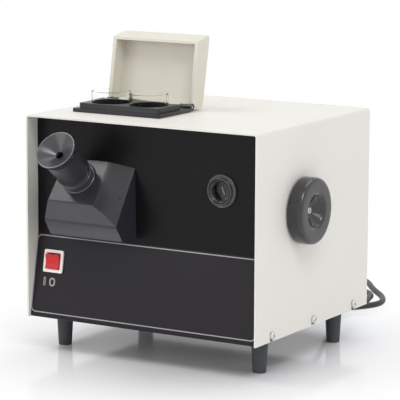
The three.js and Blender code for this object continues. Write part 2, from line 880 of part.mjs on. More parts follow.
add('window_bezel', turned([
  [bezelBore, -bezelHeight],
  [bezelRingRadius - bezelEdge, -bezelHeight],
  [bezelRingRadius, bezelEdge - bezelHeight],
  [bezelRingRadius, -bezelFlange],
  [bezelRadius, bezelEdge - bezelFlange],
  [bezelRadius, -seat],
  [bezelSpigotRadius, -seat],
  [bezelSpigotRadius, bezelSpigot],
  [glassRadius + running, bezelSpigot],
  [glassRadius + running, ledge],
  [bezelBore, ledge],
  [bezelBore, -bezelHeight],
], 'y', fineFacets), 'black', [windowX, panelY, windowZ]);
add('window_glass', rod(glassRadius, ledge + seat, ledge + seat + glassThickness, 'y'),
  'glass', [windowX, panelY, windowZ]);

// Knob on its shaft, held by a screw in the floor of its dish

const knobBackX = rightX + knobStandOff;
const knobFaceX = knobBackX + knobThickness;
const dishFloorX = knobFaceX - dishDepth;
const shaftEndX = knobBackX + knobHubDepth - seat;
const drivePlace = [0, driveY, driveZ];

add('knob', turned([
  [shaftRadius + seat, knobBackX],
  [knobRadius - knobEdge / 2, knobBackX],
  [knobRadius, knobBackX + knobEdge / 2],
  [knobRadius, knobFaceX - knobEdge],
  [knobRadius - knobEdge, knobFaceX],
  [dishRadius + dishLip, knobFaceX],
  [dishRadius, knobFaceX - dishLip],
  [dishFloorRadius, dishFloorX],
  [knobScrewShank + seat, dishFloorX],
  [knobScrewShank + seat, knobBackX + knobHubDepth],
  [shaftRadius + seat, knobBackX + knobHubDepth],
  [shaftRadius + seat, knobBackX],
], 'x', fineFacets), 'knob', drivePlace);

add('knob_screw', turned([
  [0, dishFloorX + seat - knobScrewLength],
  [knobScrewShank, dishFloorX + seat - knobScrewLength],
  [knobScrewShank, dishFloorX + seat],
  [knobScrewHead, dishFloorX + seat],
  [knobScrewHead, dishFloorX + seat + knobScrewHeadHeight],
  [0, dishFloorX + seat + knobScrewHeadHeight],
], 'x', smallFacets), 'steel', drivePlace);

// Drive: bracket with two bushes, knob shaft along X, wheel shaft along Y, and mitre gears

const coneDistance = gearPitchRadius * Math.SQRT2;
const tipCone = Math.PI / 4 + gearAddendum / coneDistance;
const rootCone = Math.PI / 4 - gearDedendum / coneDistance;
const gearBack = coneDistance * Math.cos(rootCone) + gearHubLength; // from the cones' apex
const shaftEnd = gearPitchRadius / 2; // from the cones' apex
const wheelY = frontY + wheelFromFront;
const shoulder = collarLength + 3 * seat; // gear, shoulder, bush
const plateY = driveY - gearBack - shoulder - bracketThickness;
const bracketSideX = wheelX + gearBack + shoulder + bracketThickness;
const collarRadius = shaftRadius + collarStep;

function driveBracket() {
  const low = trayTopZ + seat;
  const high = driveZ + bracketHalfWidth;
  const wall = bracketThickness;
  const sideEnd = driveY + bracketHalfWidth;
  const angle = upwards([
    [wheelX - bracketHalfWidth, plateY],
    [bracketSideX, plateY, wall],
    [bracketSideX, sideEnd],
    [bracketSideX - wall, sideEnd],
    [bracketSideX - wall, plateY + wall],
    [wheelX - bracketHalfWidth, plateY + wall],
  ], low, high - low);
  const front = block([wheelX - bracketHalfWidth, plateY, low],
    [bracketSideX, plateY + bracketFoot, low + wall]);
  const side = block([bracketSideX - bracketFoot, plateY, low], [bracketSideX, sideEnd, low + wall]);
  const wheelHole = rod(bushRadius + seat, plateY - overrun, plateY + wall + overrun, 'y')
    .translate(wheelX, 0, driveZ);
  const knobHole = rod(bushRadius + seat, bracketSideX - wall - overrun, bracketSideX + overrun, 'x')
    .translate(0, driveY, driveZ);
  return cut(join(angle, front, side), wheelHole, knobHole);
}
add('drive_bracket', driveBracket(), 'zinc');

// A flanged bush: the flange lies on a wall's face at 0 and the sleeve goes through it.
function bush(axis, wall) {
  return turned([
    [shaftRadius + running, -bushFlangeThickness - seat],
    [bushFlange, -bushFlangeThickness - seat],
    [bushFlange, -seat],
    [bushRadius, -seat],
    [bushRadius, wall + seat],
    [shaftRadius + running, wall + seat],
    [shaftRadius + running, -bushFlangeThickness - seat],
  ], axis, roundFacets);
}
add('wheel_shaft_bush', bush('y', bracketThickness), 'bronze', [wheelX, plateY, driveZ]);
add('knob_shaft_bush', bush('x', bracketThickness).rotateZ(Math.PI), 'bronze',
  [bracketSideX, driveY, driveZ]);
add('cover_bush', bush('x', sheet), 'bronze', [rightX - sheet, driveY, driveZ]);

const flangeOut = bushFlangeThickness + 2 * seat;

// The knob's shaft, with a screw hole in its outer end and a shoulder on each side of its bush.
const innerShoulderX = bracketSideX - bracketThickness - 2 * seat;
const outerShoulderX = bracketSideX + flangeOut;
add('knob_shaft', turned([
  [0, wheelX + shaftEnd],
  [shaftRadius, wheelX + shaftEnd],
  [shaftRadius, innerShoulderX - collarLength],
  [collarRadius, innerShoulderX - collarLength],
  [collarRadius, innerShoulderX],
  [shaftRadius, innerShoulderX],
  [shaftRadius, outerShoulderX],
  [collarRadius, outerShoulderX],
  [collarRadius, outerShoulderX + collarLength],
  [shaftRadius, outerShoulderX + collarLength],
  [shaftRadius, shaftEndX],
  [knobScrewShank + seat, shaftEndX],
  [knobScrewShank + seat, shaftEndX - knobScrewLength],
  [0, shaftEndX - knobScrewLength],
], 'x', roundFacets), 'steel', drivePlace);

const frontShoulderY = plateY - flangeOut;
const rearShoulderY = plateY + bracketThickness + 2 * seat;
add('wheel_shaft', turned([
  [0, wheelY - collarLength],
  [shaftRadius, wheelY - collarLength],
  [shaftRadius, frontShoulderY - collarLength],
  [collarRadius, frontShoulderY - collarLength],
  [collarRadius, frontShoulderY],
  [shaftRadius, frontShoulderY],
  [shaftRadius, rearShoulderY],
  [collarRadius, rearShoulderY],
  [collarRadius, rearShoulderY + collarLength],
  [shaftRadius, rearShoulderY + collarLength],
  [shaftRadius, driveY - shaftEnd],
  [0, driveY - shaftEnd],
], 'y', roundFacets), 'steel', [wheelX, 0, driveZ]);

// A mitre gear about +Z with the cones' apex at the origin and its pitch circle at z = -radius.
// The toothed rings lie at the two cone distances; a tooth is a root, two flanks and a tip.
function mitreGear(turn) {
  const outer = coneDistance;
  const inner = outer - gearFace;
  const pitch = 2 * Math.PI / gearTeeth;
  const ring = (distance) => {
    const points = [];
    for (let i = 0; i < gearTeeth; i += 1) {
      const middle = turn + i * pitch;
      const marks = [
        [-gearToothRootShare, rootCone], [-gearToothTipShare, tipCone],
        [gearToothTipShare, tipCone], [gearToothRootShare, rootCone],
      ];
      for (const [share, cone] of marks) {
        const angle = middle + share * pitch;
        const radius = distance * Math.sin(cone);
        points.push(new THREE.Vector3(
          radius * Math.cos(angle), radius * Math.sin(angle), -distance * Math.cos(cone)));
      }
    }
    return points;
  };
  const bore = shaftRadius + seat / 2;
  const count = 4 * gearTeeth;
  const rootOuter = outer * Math.cos(rootCone);
  const rootInner = inner * Math.cos(rootCone);
  const circle = (radius, z) => Array.from({ length: count }, (_, i) => {
    const angle = turn + (Math.floor(i / 4) + (i % 4 - 1.5) / 4) * pitch;
    return new THREE.Vector3(radius * Math.cos(angle), radius * Math.sin(angle), z);
  });
  const rings = [
    circle(bore, -rootInner),
    ring(inner),
    ring(outer),
    circle(gearHubRadius + gearHubLength / 2, -rootOuter - gearHubLength / 3),
    circle(gearHubRadius, -rootOuter - gearHubLength / 3),
    circle(gearHubRadius, -rootOuter - gearHubLength),
    circle(bore, -rootOuter - gearHubLength),
  ].reverse();
  return skin(rings, true);
}

const apex = [wheelX, driveY, driveZ];
add('knob_gear', mitreGear(0).rotateY(-Math.PI / 2), 'brass', apex);
add('wheel_gear', mitreGear(Math.PI / gearTeeth).rotateX(-Math.PI / 2), 'brass', apex);

// Colour wheel: sixteen stations, each with its colour glass left in a recessed seat

function colourWheel() {
  const body = turned([
    [shaftRadius + seat / 2, 0],
    [wheelRadius, 0],
    [wheelRadius, wheelThickness],
    [wheelHubRadius, wheelThickness],
    [wheelHubRadius, wheelThickness + wheelHubLength],
    [shaftRadius + seat / 2, wheelThickness + wheelHubLength],
    [shaftRadius + seat / 2, 0],
  ], 'y', 2 * roundFacets);
  const first = Math.atan2(beamZ - driveZ, beamX[1] - wheelX);
  const seats = [];
  for (let i = 0; i < wheelStations; i += 1) {
    const angle = first + (i / wheelStations) * 2 * Math.PI;
    const x = wheelRing * Math.cos(angle);
    const z = wheelRing * Math.sin(angle);
    seats.push(rod(stationRadius, -overrun, stationDepth, 'y', stationFacets).translate(x, 0, z));
  }
  return cut(body, ...seats);
}
add('colour_wheel', colourWheel(), 'wheel', [wheelX, wheelY, driveZ]);

// Jar block, cage and jars

const plateFrontY = frontY + plateFromFront;
const hingeY = frontY + hingeFromFront;
const plateRearY = hingeY - hingeKnuckleRadius - seat;
const plateBottomZ = coverTopZ + seat;
const plateTopZ = plateBottomZ + plateThickness;
const blockTopZ = plateTopZ + blockRise;
const hingeZ = plateTopZ + hingeRise;
const spigotBottomZ = coverTopZ - spigotDrop;

// A knuckle about the hinge line, as long as asked and centred across on x.
function knuckle(x, length) {
  return rod(hingeKnuckleRadius, x - length / 2, x + length / 2, 'x', smallFacets);
}

const pinBore = rod(hingePinRadius + seat, -lidWidth, lidWidth, 'x', smallFacets);
const fixedKnuckles = [-1, 1].map((side) => side * (lidWidth - hingeKnuckleLength) / 2);
const lidKnuckles = [-1, 1].map((side) => side * (lidWidth / 2 - hingeKnuckleLength * 3 / 2 - seat));

function jarBlock() {
  const plateDepth = plateRearY - plateFrontY;
  const plateMiddleY = plateFrontY + plateDepth / 2;
  const plate = upwards(rectangle(plateWidth, plateDepth, opticsX, plateMiddleY, blockCorner),
    plateBottomZ, plateThickness);
  const knuckles = fixedKnuckles.flatMap((x) => [
    knuckle(x, hingeKnuckleLength).translate(opticsX, hingeY, hingeZ),
    block(
      [opticsX + x - hingeKnuckleLength / 2, plateRearY - blockCorner, plateBottomZ + plateThickness / 2],
      [opticsX + x + hingeKnuckleLength / 2, hingeY, plateTopZ]),
  ]);
  const raised = upwards(rectangle(blockWidth, blockDepth, opticsX, jarY, blockCorner),
    plateTopZ - plateThickness / 2, blockRise + plateThickness / 2);
  const spigot = block(
    [opticsX - spigotWidth / 2, jarY - spigotDepth / 2, spigotBottomZ],
    [opticsX + spigotWidth / 2, jarY + spigotDepth / 2, plateBottomZ + plateThickness / 2]);
  const wells = beamX.map((x) => rod(
    wellRadius, spigotBottomZ - overrun, blockTopZ + overrun, 'z', fineFacets)
    .translate(x, jarY, 0));
  const bore = pinBore.clone().translate(opticsX, hingeY, hingeZ);
  return cut(join(plate, raised, spigot, ...knuckles), ...wells, bore);
}
add('jar_block', jarBlock(), 'black');

const jarBottomZ = coverTopZ + jarRimAboveTop - jarHeight;
const cageFloorZ = jarBottomZ - seat;

function jarCage() {
  const low = cageFloorZ - cageSheet;
  const high = spigotBottomZ - seat;
  const left = opticsX - cageWidth / 2;
  const right = opticsX + cageWidth / 2;
  const strap = alongY([
    [left, low, cageSheet],
    [right, low, cageSheet],
    [right, high],
    [right - cageSheet, high],
    [right - cageSheet, cageFloorZ],
    [left + cageSheet, cageFloorZ],
    [left + cageSheet, high],
    [left, high],
  ], jarY - cageDepth / 2, cageDepth);
  const rings = beamX.map((x) => sleeve(
    wellRadius, wellRadius + cageRingWall, cageFloorZ - cageSheet / 2, cageFloorZ + cageRingHeight)
    .translate(x, jarY, 0));
  return join(strap, ...rings);
}
add('jar_cage', jarCage(), 'black');

function jar() {
  const inner = jarRadius - jarWall;
  const corner = jarCornerRadius;
  return turned([
    [0, 0],
    [jarRadius - corner, 0],
    [jarRadius - corner / 4, corner / 4],
    [jarRadius, corner],
    [jarRadius, jarHeight - jarWall / 4],
    [jarRadius - jarWall / 4, jarHeight],
    [inner + jarWall / 4, jarHeight],
    [inner, jarHeight - jarWall / 4],
    [inner, jarFloor + corner / 2],
    [inner - corner / 2, jarFloor],
    [0, jarFloor],
  ], 'z', fineFacets);
}
add('sample_jar', jar(), 'glass', [beamX[0], jarY, jarBottomZ]);
add('reference_jar', jar(), 'glass', [beamX[1], jarY, jarBottomZ]);

// Lid: a moulded cover, drawn in its own frame with the hinge axis at the origin, the rim up along Z
// and its depth along +Y, then leaned back

const hingePlace = [opticsX, hingeY, hingeZ];

function lidOutline(wall) {
  const slant = lidLip / lidDepthAtEnd;
  const mouth = wall > 0 ? -overrun : 0;
  const round = wall > 0 ? lidCorner / 2 : lidCorner;
  return [
    [mouth, wall],
    [mouth, lidRim - wall + mouth * slant],
    [lidDepthAtEnd - wall, lidRim + lidLip - wall - wall * slant, round],
    [lidDepthAtHinge - wall, wall, round],
  ].reverse();
}

function lid() {
  const high = lidRim + lidLip;
  const mould = alongY(
    rectangle(lidWidth, 2 * high, 0, 0, lidEndCorner), -overrun, lidDepthAtEnd + 2 * overrun);
  const outside = common(alongX(lidOutline(0), -lidWidth / 2, lidWidth), mould);
  const inside = alongX(lidOutline(lidWall), lidSideWall - lidWidth / 2, lidWidth - 2 * lidSideWall);
  const clear = hingeKnuckleRadius + 2 * seat;
  const notches = fixedKnuckles.map((x) => block(
    [x - hingeKnuckleLength / 2 - seat, -overrun, -overrun],
    [x + hingeKnuckleLength / 2 + seat, clear, clear]));
  const knuckles = lidKnuckles.map((x) => knuckle(x, hingeKnuckleLength - seat));
  return cut(join(cut(outside, inside, ...notches), ...knuckles), pinBore);
}
add('lid', lid(), 'moulding', hingePlace, -lidLean * degrees);

const pinHalf = lidWidth / 2 - seat;
add('hinge_pin', rod(hingePinRadius, -pinHalf, pinHalf, 'x', smallFacets), 'steel', hingePlace);

// Lamp house: a folded box open towards the jars, with slots above the lamp

const lampHouseY = frontY + lampHouseFromFront;
const lampHouseRearY = lampHouseY + lampHouseDepth;
const lampHouseBottomZ = trayTopZ + seat;
const lampHouseTopZ = lampHouseBottomZ + lampHouseHeight;
const lampY = frontY + lampFromFront;
const lampInnerWidth = lampHouseWidth - 2 * lampHouseSheet - 2 * seat;

function lampHouse() {
  const wall = lampHouseSheet;
  const left = opticsX - lampHouseWidth / 2;
  const right = opticsX + lampHouseWidth / 2;
  const walls = upwards([
    [left, lampHouseY],
    [left + wall, lampHouseY],
    [left + wall, lampHouseRearY - wall],
    [right - wall, lampHouseRearY - wall],
    [right - wall, lampHouseY],
    [right, lampHouseY],
    [right, lampHouseRearY, wall],
    [left, lampHouseRearY, wall],
  ], lampHouseBottomZ, lampHouseHeight);
  const roof = block(
    [left, lampHouseY, lampHouseTopZ - wall], [right, lampHouseRearY - wall / 2, lampHouseTopZ]);
  const slots = [];
  for (let i = 0; i < lampSlotCount; i += 1) {
    const y = (lampHouseY + lampHouseRearY) / 2 + (i - (lampSlotCount - 1) / 2) * lampSlotPitch;
    slots.push(upwards(rectangle(lampSlotWidth, lampSlotDepth, opticsX, y, lampSlotDepth / 2),
      lampHouseTopZ - wall - overrun, wall + 2 * overrun));
  }
  return cut(join(walls, roof), ...slots);
}
add('lamp_house', lampHouse(), 'zinc');

// Diffuser between the lamp house's sides, on a shelf that carries the lamp holder too

const diffuserY = lampHouseY + lampHouseSheet;
const diffuserBottomZ = beamZ - diffuserHeight / 2;
const shelfTopZ = diffuserBottomZ - seat;

add('diffuser', block(
  [opticsX - lampInnerWidth / 2, diffuserY, diffuserBottomZ],
  [opticsX + lampInnerWidth / 2, diffuserY + diffuserThickness, diffuserBottomZ + diffuserHeight],
), 'opal');

function lampShelf() {
  const wall = lampHouseSheet;
  const rear = lampHouseRearY - wall - seat;
  return alongX([
    [lampHouseY, shelfTopZ - wall],
    [rear - wall, shelfTopZ - wall],
    [rear - wall, shelfTopZ - trayFlange],
    [rear, shelfTopZ - trayFlange],
    [rear, shelfTopZ, wall],
    [lampHouseY, shelfTopZ],
  ], opticsX - lampInnerWidth / 2, lampInnerWidth);
}
add('lamp_shelf', lampShelf(), 'zinc');

const holderTop = shelfTopZ + seat + lampHolderHeight;

add('lamp_holder', turned([
  [0, shelfTopZ + seat],
  [lampHolderFlange, shelfTopZ + seat],
  [lampHolderFlange, shelfTopZ + seat + lampHolderFlangeThickness],
  [lampHolderRadius, shelfTopZ + seat + lampHolderFlangeThickness],
  [lampHolderRadius, holderTop],
  [lampCapRadius + seat, holderTop],
  [lampCapRadius + seat, holderTop - lampHolderBoreDepth],
  [0, holderTop - lampHolderBoreDepth],
], 'z', roundFacets), 'opal', [opticsX, lampY, 0]);

// Bulb: a cap in the holder, a neck and a round envelope

function bulb() {
  const capFoot = holderTop - lampHolderBoreDepth + seat;
  const middle = holderTop + lampNeck + lampBulbRadius;
  const points = [[0, capFoot], [lampCapRadius, capFoot], [lampCapRadius, holderTop + seat]];
  const start = Math.asin(lampCapRadius / lampBulbRadius);
  const steps = smallFacets / 2;
  for (let i = 0; i < steps; i += 1) {
    const angle = start + (Math.PI - start) * (i / steps);
    points.push([lampBulbRadius * Math.sin(angle), middle - lampBulbRadius * Math.cos(angle)]);
  }
  points.push([0, middle + lampBulbRadius]);
  return turned(points, 'z', roundFacets);
}
add('lamp', bulb(), 'glass', [opticsX, lampY, 0]);

// Transformer: a stack of plates with its winding, on a footed strap

function transformer() {
  const low = trayTopZ + seat;
  const middle = low + coreHeight / 2;
  const core = block(
    [-coreWidth / 2, -coreDepth / 2, low], [coreWidth / 2, coreDepth / 2, low + coreHeight]);
  const winding = upwards(
    rectangle(coilWidth, coilDepth, 0, 0, coilCorner), middle - coilHeight / 2, coilHeight);
  const strap = block([-coreFootLength / 2, -coreFootDepth / 2, low],
    [coreFootLength / 2, coreFootDepth / 2, low + coreFootThickness]);
  return join(core, winding, strap);
}
add('transformer', transformer(), 'black', [coreX, frontY + coreFromFront, 0]);

// Terminal block with its row of screw wells

function terminalBlock() {
  const low = trayTopZ + seat;
  const high = low + blockTerminalHeight;
  const width = blockTerminals * blockTerminalPitch;
  const step = blockTerminalDepth / 4;
  const body = alongX([
    [-blockTerminalDepth / 2, low],
    [blockTerminalDepth / 2, low],
    [blockTerminalDepth / 2, low + blockTerminalHeight / 2],
    [step, low + blockTerminalHeight / 2],
    [step, high],
    [-step, high],
    [-step, low + blockTerminalHeight / 2],
    [-blockTerminalDepth / 2, low + blockTerminalHeight / 2],
  ], -width / 2, width);
  const wells = [];
  for (let i = 0; i < blockTerminals; i += 1) {
    const x = (i - (blockTerminals - 1) / 2) * blockTerminalPitch;
    wells.push(rod(blockTerminalBore, low + blockTerminalHeight / 2, high + overrun, 'z', smallFacets)
      .translate(x, 0, 0));
  }
  return cut(body, ...wells);
}
add('terminal_block', terminalBlock(), 'opal', [blockX, frontY + blockFromFront, 0]);

// Rear panel with its vents and the mains lead's hole

const rearFaceY = rearY - rearInset;
const reliefPlace = [leadExitX, rearFaceY, leadExitZ];

function rearPanel() {
  const panel = alongY(rectangle(
    2 * panelHalf, panelTopZ - coverBottomZ, 0, (panelTopZ + coverBottomZ) / 2),
  rearFaceY - rearThickness, rearThickness);
  const through = [rearFaceY - rearThickness - overrun, rearThickness + 2 * overrun];
  const vents = [];
  for (let i = 0; i < ventRows; i += 1) {
    vents.push(alongY(rectangle(ventSlotWidth, ventSlotHeight, ventX, ventZ + i * ventPitch,
      ventSlotHeight / 2), ...through));
  }
  const hole = rod(reliefNeckRadius + seat, -rearThickness - overrun, overrun, 'y', roundFacets)
    .translate(...reliefPlace);
  return cut(panel, ...vents, hole);
}
add('rear_panel', rearPanel(), 'zinc');

// Strain relief: a flange on the panel, a neck through it, and a grooved taper for the lead

function strainRelief() {
  const tip = reliefFlangeThickness + reliefLength;
  const points = [
    [0, -rearThickness - reliefFlangeThickness],
    [reliefNeckRadius, -rearThickness - reliefFlangeThickness],
    [reliefNeckRadius, seat],
    [reliefFlangeRadius, seat],
    [reliefFlangeRadius, seat + reliefFlangeThickness],
  ];
  const pitch = reliefLength / (2 * reliefGrooves + 1);
  const taper = (reliefRootRadius - reliefTipRadius) / reliefLength;
  for (let i = 0; i <= 2 * reliefGrooves; i += 1) {
    const from = seat + reliefFlangeThickness + i * pitch;
    const groove = i % 2 === 1 ? reliefGrooveDepth : 0;
    points.push([reliefRootRadius - taper * i * pitch - groove, from]);
    points.push([reliefRootRadius - taper * (i + 1) * pitch - groove, from + pitch]);
  }
  points.push([0, seat + tip]);
  return turned(points, 'y', smallFacets);
}
add('strain_relief', strainRelief(), 'lead', reliefPlace);

// Mains lead: its free stretch, chosen by hand, lies in an open loop beside and behind the cabinet

const leadRadius = leadDiameter / 2;
const lead = leadRadius + seat; // height of the lead's middle on the bench
const leadStartY = rearFaceY + seat + reliefFlangeThickness + reliefLength + seat;
const coilEntry = [coilX + leadDiameter + seat, coilY + coilOuterRadius, lead];

const leadRoute = [
  [leadExitX, leadStartY, leadExitZ],
  [leadExitX, leadStartY + leadDiameter, leadExitZ],
  [40.3, 166, 50.6],
  [41.5, 177, 45.5],
  [43.4, 186, 36.5],
  [46, 193.6, 24.6],
  [49.6, 201, 12.8],
  [54.6, 208.6, 5.4],
  [61, 216.8, 3.5],
  [68.5, 226, 3.5],
  [74.8, 237, 3.5],
  [77.5, 248.5, 3.5],
  [75.6, 261, 3.5],
  [69.5, 274, 3.5],
  [60, 288, 3.5],
  [46.5, 303.5, 3.5],
  [33, 320.5, 3.5],
  [20, 338.5, 3.5],
  [4, 353.5, 3.5],
  [-17, 359, 3.5],
  [-37, 351, 3.5],
  [-46.5, 332, 3.5],
  [-40.5, 312, 3.5],
  [-22, 299.5, 3.5],
  [1, 296.5, 3.5],
  [23, 298, 3.5],
  [40.5, 293.5, 3.5],
  [51.5, 281, 3.5],
  [56.8, 265, 3.5],
  [60.6, 250.5, 3.5],
  [60, 238, 3.5],
  [52, 227.5, 3.5],
  [38, 222.5, 3.5],
  [20, 227, 3.5],
  [4, 237.5, 3.5],
  [-9, 246.8, 3.5],
  [coilEntry[0] + 2 * leadDiameter, coilEntry[1], lead],
  [coilEntry[0] + leadDiameter, coilEntry[1], lead],
  coilEntry,
].map((place) => new THREE.Vector3(...place));

add('lead', tube(leadRoute, leadRadius, leadSides, leadSteps), 'lead');

// The rest of the lead is wound in two layers, spiralling in and out again, behind the cabinet

const plugAxisZ = plugThickness / 2 + seat;
const coilTurns = 2 * coilTurnsPerLayer;
const climbShare = 0.5; // of a turn, where the spiral reverses
const riseShare = 0.25; // of a turn, up to the plug

function smooth(share) {
  const t = Math.min(Math.max(share, 0), 1);
  return t * t * (3 - 2 * t);
}

function coilPoint(turn) {
  const inward = Math.min(turn, coilTurns - turn);
  const radius = coilOuterRadius - coilPitch * inward;
  const climb = smooth((turn - coilTurnsPerLayer) / climbShare + 1 / 2);
  const rise = smooth((turn - coilTurns) / riseShare + 1);
  const angle = Math.PI / 2 + turn * 2 * Math.PI;
  return new THREE.Vector3(
    coilX + radius * Math.cos(angle),
    coilY + radius * Math.sin(angle),
    lead + climb * coilPitch + rise * (plugAxisZ - lead - coilPitch),
  );
}

const coilRoute = [new THREE.Vector3(coilX + leadDiameter, coilY + coilOuterRadius, lead)];
const coilSteps = coilTurns * coilStepsPerTurn;
for (let i = 0; i <= coilSteps; i += 1) coilRoute.push(coilPoint(i / coilStepsPerTurn));
coilRoute.push(new THREE.Vector3(coilX - coilTail, coilY + coilOuterRadius, plugAxisZ));

// A tube whose rings stand square to the route, and square to -X at both of its ends.
function woundTube(route) {
  const along = new THREE.Vector3(-1, 0, 0);
  const up = new THREE.Vector3(0, 0, 1);
  const last = route.length - 1;
  return skin(route.map((point, i) => {
    const end = i < 2 || i > last - 2;
    const ahead = end ? along : route[i + 1].clone().sub(route[i - 1]).normalize();
    const side = new THREE.Vector3().crossVectors(up, ahead).normalize();
    const over = new THREE.Vector3().crossVectors(ahead, side);
    return Array.from({ length: coilSides }, (_, k) => {
      const angle = (k / coilSides) * 2 * Math.PI;
      return point.clone()
        .addScaledVector(side, leadRadius * Math.cos(angle))
        .addScaledVector(over, leadRadius * Math.sin(angle));
    });
  }));
}
add('lead_coil', woundTube(coilRoute), 'lead');

// Plug: a body that narrows to its neck, with two slanted blades and an earth blade

const plugNeckX = coilX - coilTail - seat;
const plugFaceX = plugNeckX - plugNeckLength - plugLength;

// A rounded oblong ring across X, around the plug's axis.
function oblong(x, width, thickness, corner) {
  const ring = [];
  for (let quarter = 0; quarter < 4; quarter += 1) {
    const across = (quarter === 0 || quarter === 3 ? 1 : -1) * (width / 2 - corner);
    const up = (quarter < 2 ? 1 : -1) * (thickness / 2 - corner);
    for (let i = 0; i <= cornerSteps; i += 1) {
      const angle = (quarter + i / cornerSteps) * Math.PI / 2;
      ring.push(new THREE.Vector3(x, coilY + coilOuterRadius + across + corner * Math.cos(angle),
        plugAxisZ + up + corner * Math.sin(angle)));
    }
  }
  return ring;
}

function plug() {
  const neck = 2 * plugNeckRadius;
  const waistShare = 0.62;
  const rings = [
    oblong(plugFaceX, plugWidth, plugThickness, plugCorner),
    oblong(plugFaceX + plugLength * waistShare, plugWidth, plugThickness, plugCorner),
    oblong(plugFaceX + plugLength, plugWidth * waistShare, plugThickness * waistShare, plugCorner),
    oblong(plugFaceX + plugLength + overrun, neck, neck, plugNeckRadius - seat),
    oblong(plugNeckX, leadDiameter + overrun, leadDiameter + overrun, leadRadius),
  ];
  const blade = (across, up, tilt) => new THREE.BoxGeometry(pinLength + overrun, pinThickness, pinWidth)
    .rotateX(tilt * degrees)
    .translate(plugFaceX - (pinLength - overrun) / 2, coilY + coilOuterRadius + across, plugAxisZ + up);
  return join(skin(rings), blade(-pinSpread, pinRise, pinSlant), blade(pinSpread, pinRise, -pinSlant),
    blade(0, pinRise - earthPinDrop, 0));
}
add('plug', plug(), 'lead');

// Lengths and the coil's least gap, for the report

function routeLength(route) {
  return route.slice(1).reduce((sum, point, i) => sum + point.distanceTo(route[i]), 0);
}

let leastGap = Infinity;
const apart = coilStepsPerTurn / 2; // points nearer than this along the lead are neighbours
for (let i = 0; i < coilRoute.length; i += 1) {
  for (let j = i + apart; j < coilRoute.length; j += 1) {
    leastGap = Math.min(leastGap, coilRoute[i].distanceTo(coilRoute[j]) - leadDiameter);
  }
}
const freeLength = new THREE.CatmullRomCurve3(leadRoute, false, 'centripetal').getLength();
console.log(`free lead ${freeLength.toFixed(0)} mm, coiled ${routeLength(coilRoute).toFixed(0)} mm`);
console.log(`least gap of the coil to itself ${leastGap.toFixed(2)} mm`);

// The instrument stands on z = 0 with the origin under the middle of its box, the lead left out

const leadParts = ['lead', 'lead_coil', 'plug'];
const box = new THREE.Box3();
for (const mesh of instrument.children) {
  if (!leadParts.includes(mesh.name)) box.expandByObject(mesh, true);
}
const middle = box.getCenter(new THREE.Vector3());
instrument.position.set(-middle.x, -middle.y, 0);

const part = new THREE.Group();
part.add(instrument);

export default part;
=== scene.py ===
# Oil colorimeter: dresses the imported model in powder-coated sheet, castings, glass and mouldings.
import json
import math
from contextlib import contextmanager

import bmesh
import bpy
from mathutils import Matrix, Vector

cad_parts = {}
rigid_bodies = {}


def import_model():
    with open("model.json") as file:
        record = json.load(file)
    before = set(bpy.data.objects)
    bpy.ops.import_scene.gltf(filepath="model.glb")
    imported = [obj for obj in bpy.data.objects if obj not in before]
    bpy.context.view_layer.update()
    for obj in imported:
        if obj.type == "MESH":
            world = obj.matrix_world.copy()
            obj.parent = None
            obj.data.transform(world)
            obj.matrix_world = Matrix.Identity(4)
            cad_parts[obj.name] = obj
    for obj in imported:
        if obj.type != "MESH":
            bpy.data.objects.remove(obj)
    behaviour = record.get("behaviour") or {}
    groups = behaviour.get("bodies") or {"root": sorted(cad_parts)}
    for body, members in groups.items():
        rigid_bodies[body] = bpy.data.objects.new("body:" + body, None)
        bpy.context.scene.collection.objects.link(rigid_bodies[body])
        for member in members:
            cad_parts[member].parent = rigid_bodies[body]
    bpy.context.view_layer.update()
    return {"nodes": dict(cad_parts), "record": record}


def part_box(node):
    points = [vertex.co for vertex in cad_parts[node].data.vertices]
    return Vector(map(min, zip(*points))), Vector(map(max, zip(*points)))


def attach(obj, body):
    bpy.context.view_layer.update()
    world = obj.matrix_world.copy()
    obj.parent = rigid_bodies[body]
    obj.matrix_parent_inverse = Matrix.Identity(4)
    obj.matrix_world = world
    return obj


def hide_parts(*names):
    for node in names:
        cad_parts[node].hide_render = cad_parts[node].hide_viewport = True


for item in list(bpy.data.objects):
    bpy.data.objects.remove(item)
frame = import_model()
print("loaded", len(frame["nodes"]), "nodes")

mm = 0.001
scene = bpy.context.scene
coverLow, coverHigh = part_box("cover_shell")
middle = (coverLow + coverHigh) / 2  # of the cabinet, from which places are measured
bodies = frame["record"]["behaviour"]["bodies"]
bodyOf = {node: body for body, nodes in bodies.items() for node in nodes}


def place(x, y, z):  # millimetres from the cabinet's middle and the bench
    return Vector((middle.x + x * mm, middle.y + y * mm, z * mm))


def towards(azimuth, elevation):  # the way out from the cabinet, in degrees from its front and up
    a, e = math.radians(azimuth), math.radians(elevation)
    return Vector((math.sin(a) * math.cos(e), -math.cos(a) * math.cos(e), math.sin(e)))


# Camera: a long lens, from the right and a little above

camera = {
    "azimuth": 30.76, "elevation": 9.51, "roll": 0.27,
    "distance": 2262.4, "target": (7.22, 0, 151.5),
    "focalPixels": 2272.28, "imagePixels": 400, "opticalCentre": (205.65, 194.46),
    "sensorMm": 36, "farMetres": 50,
}


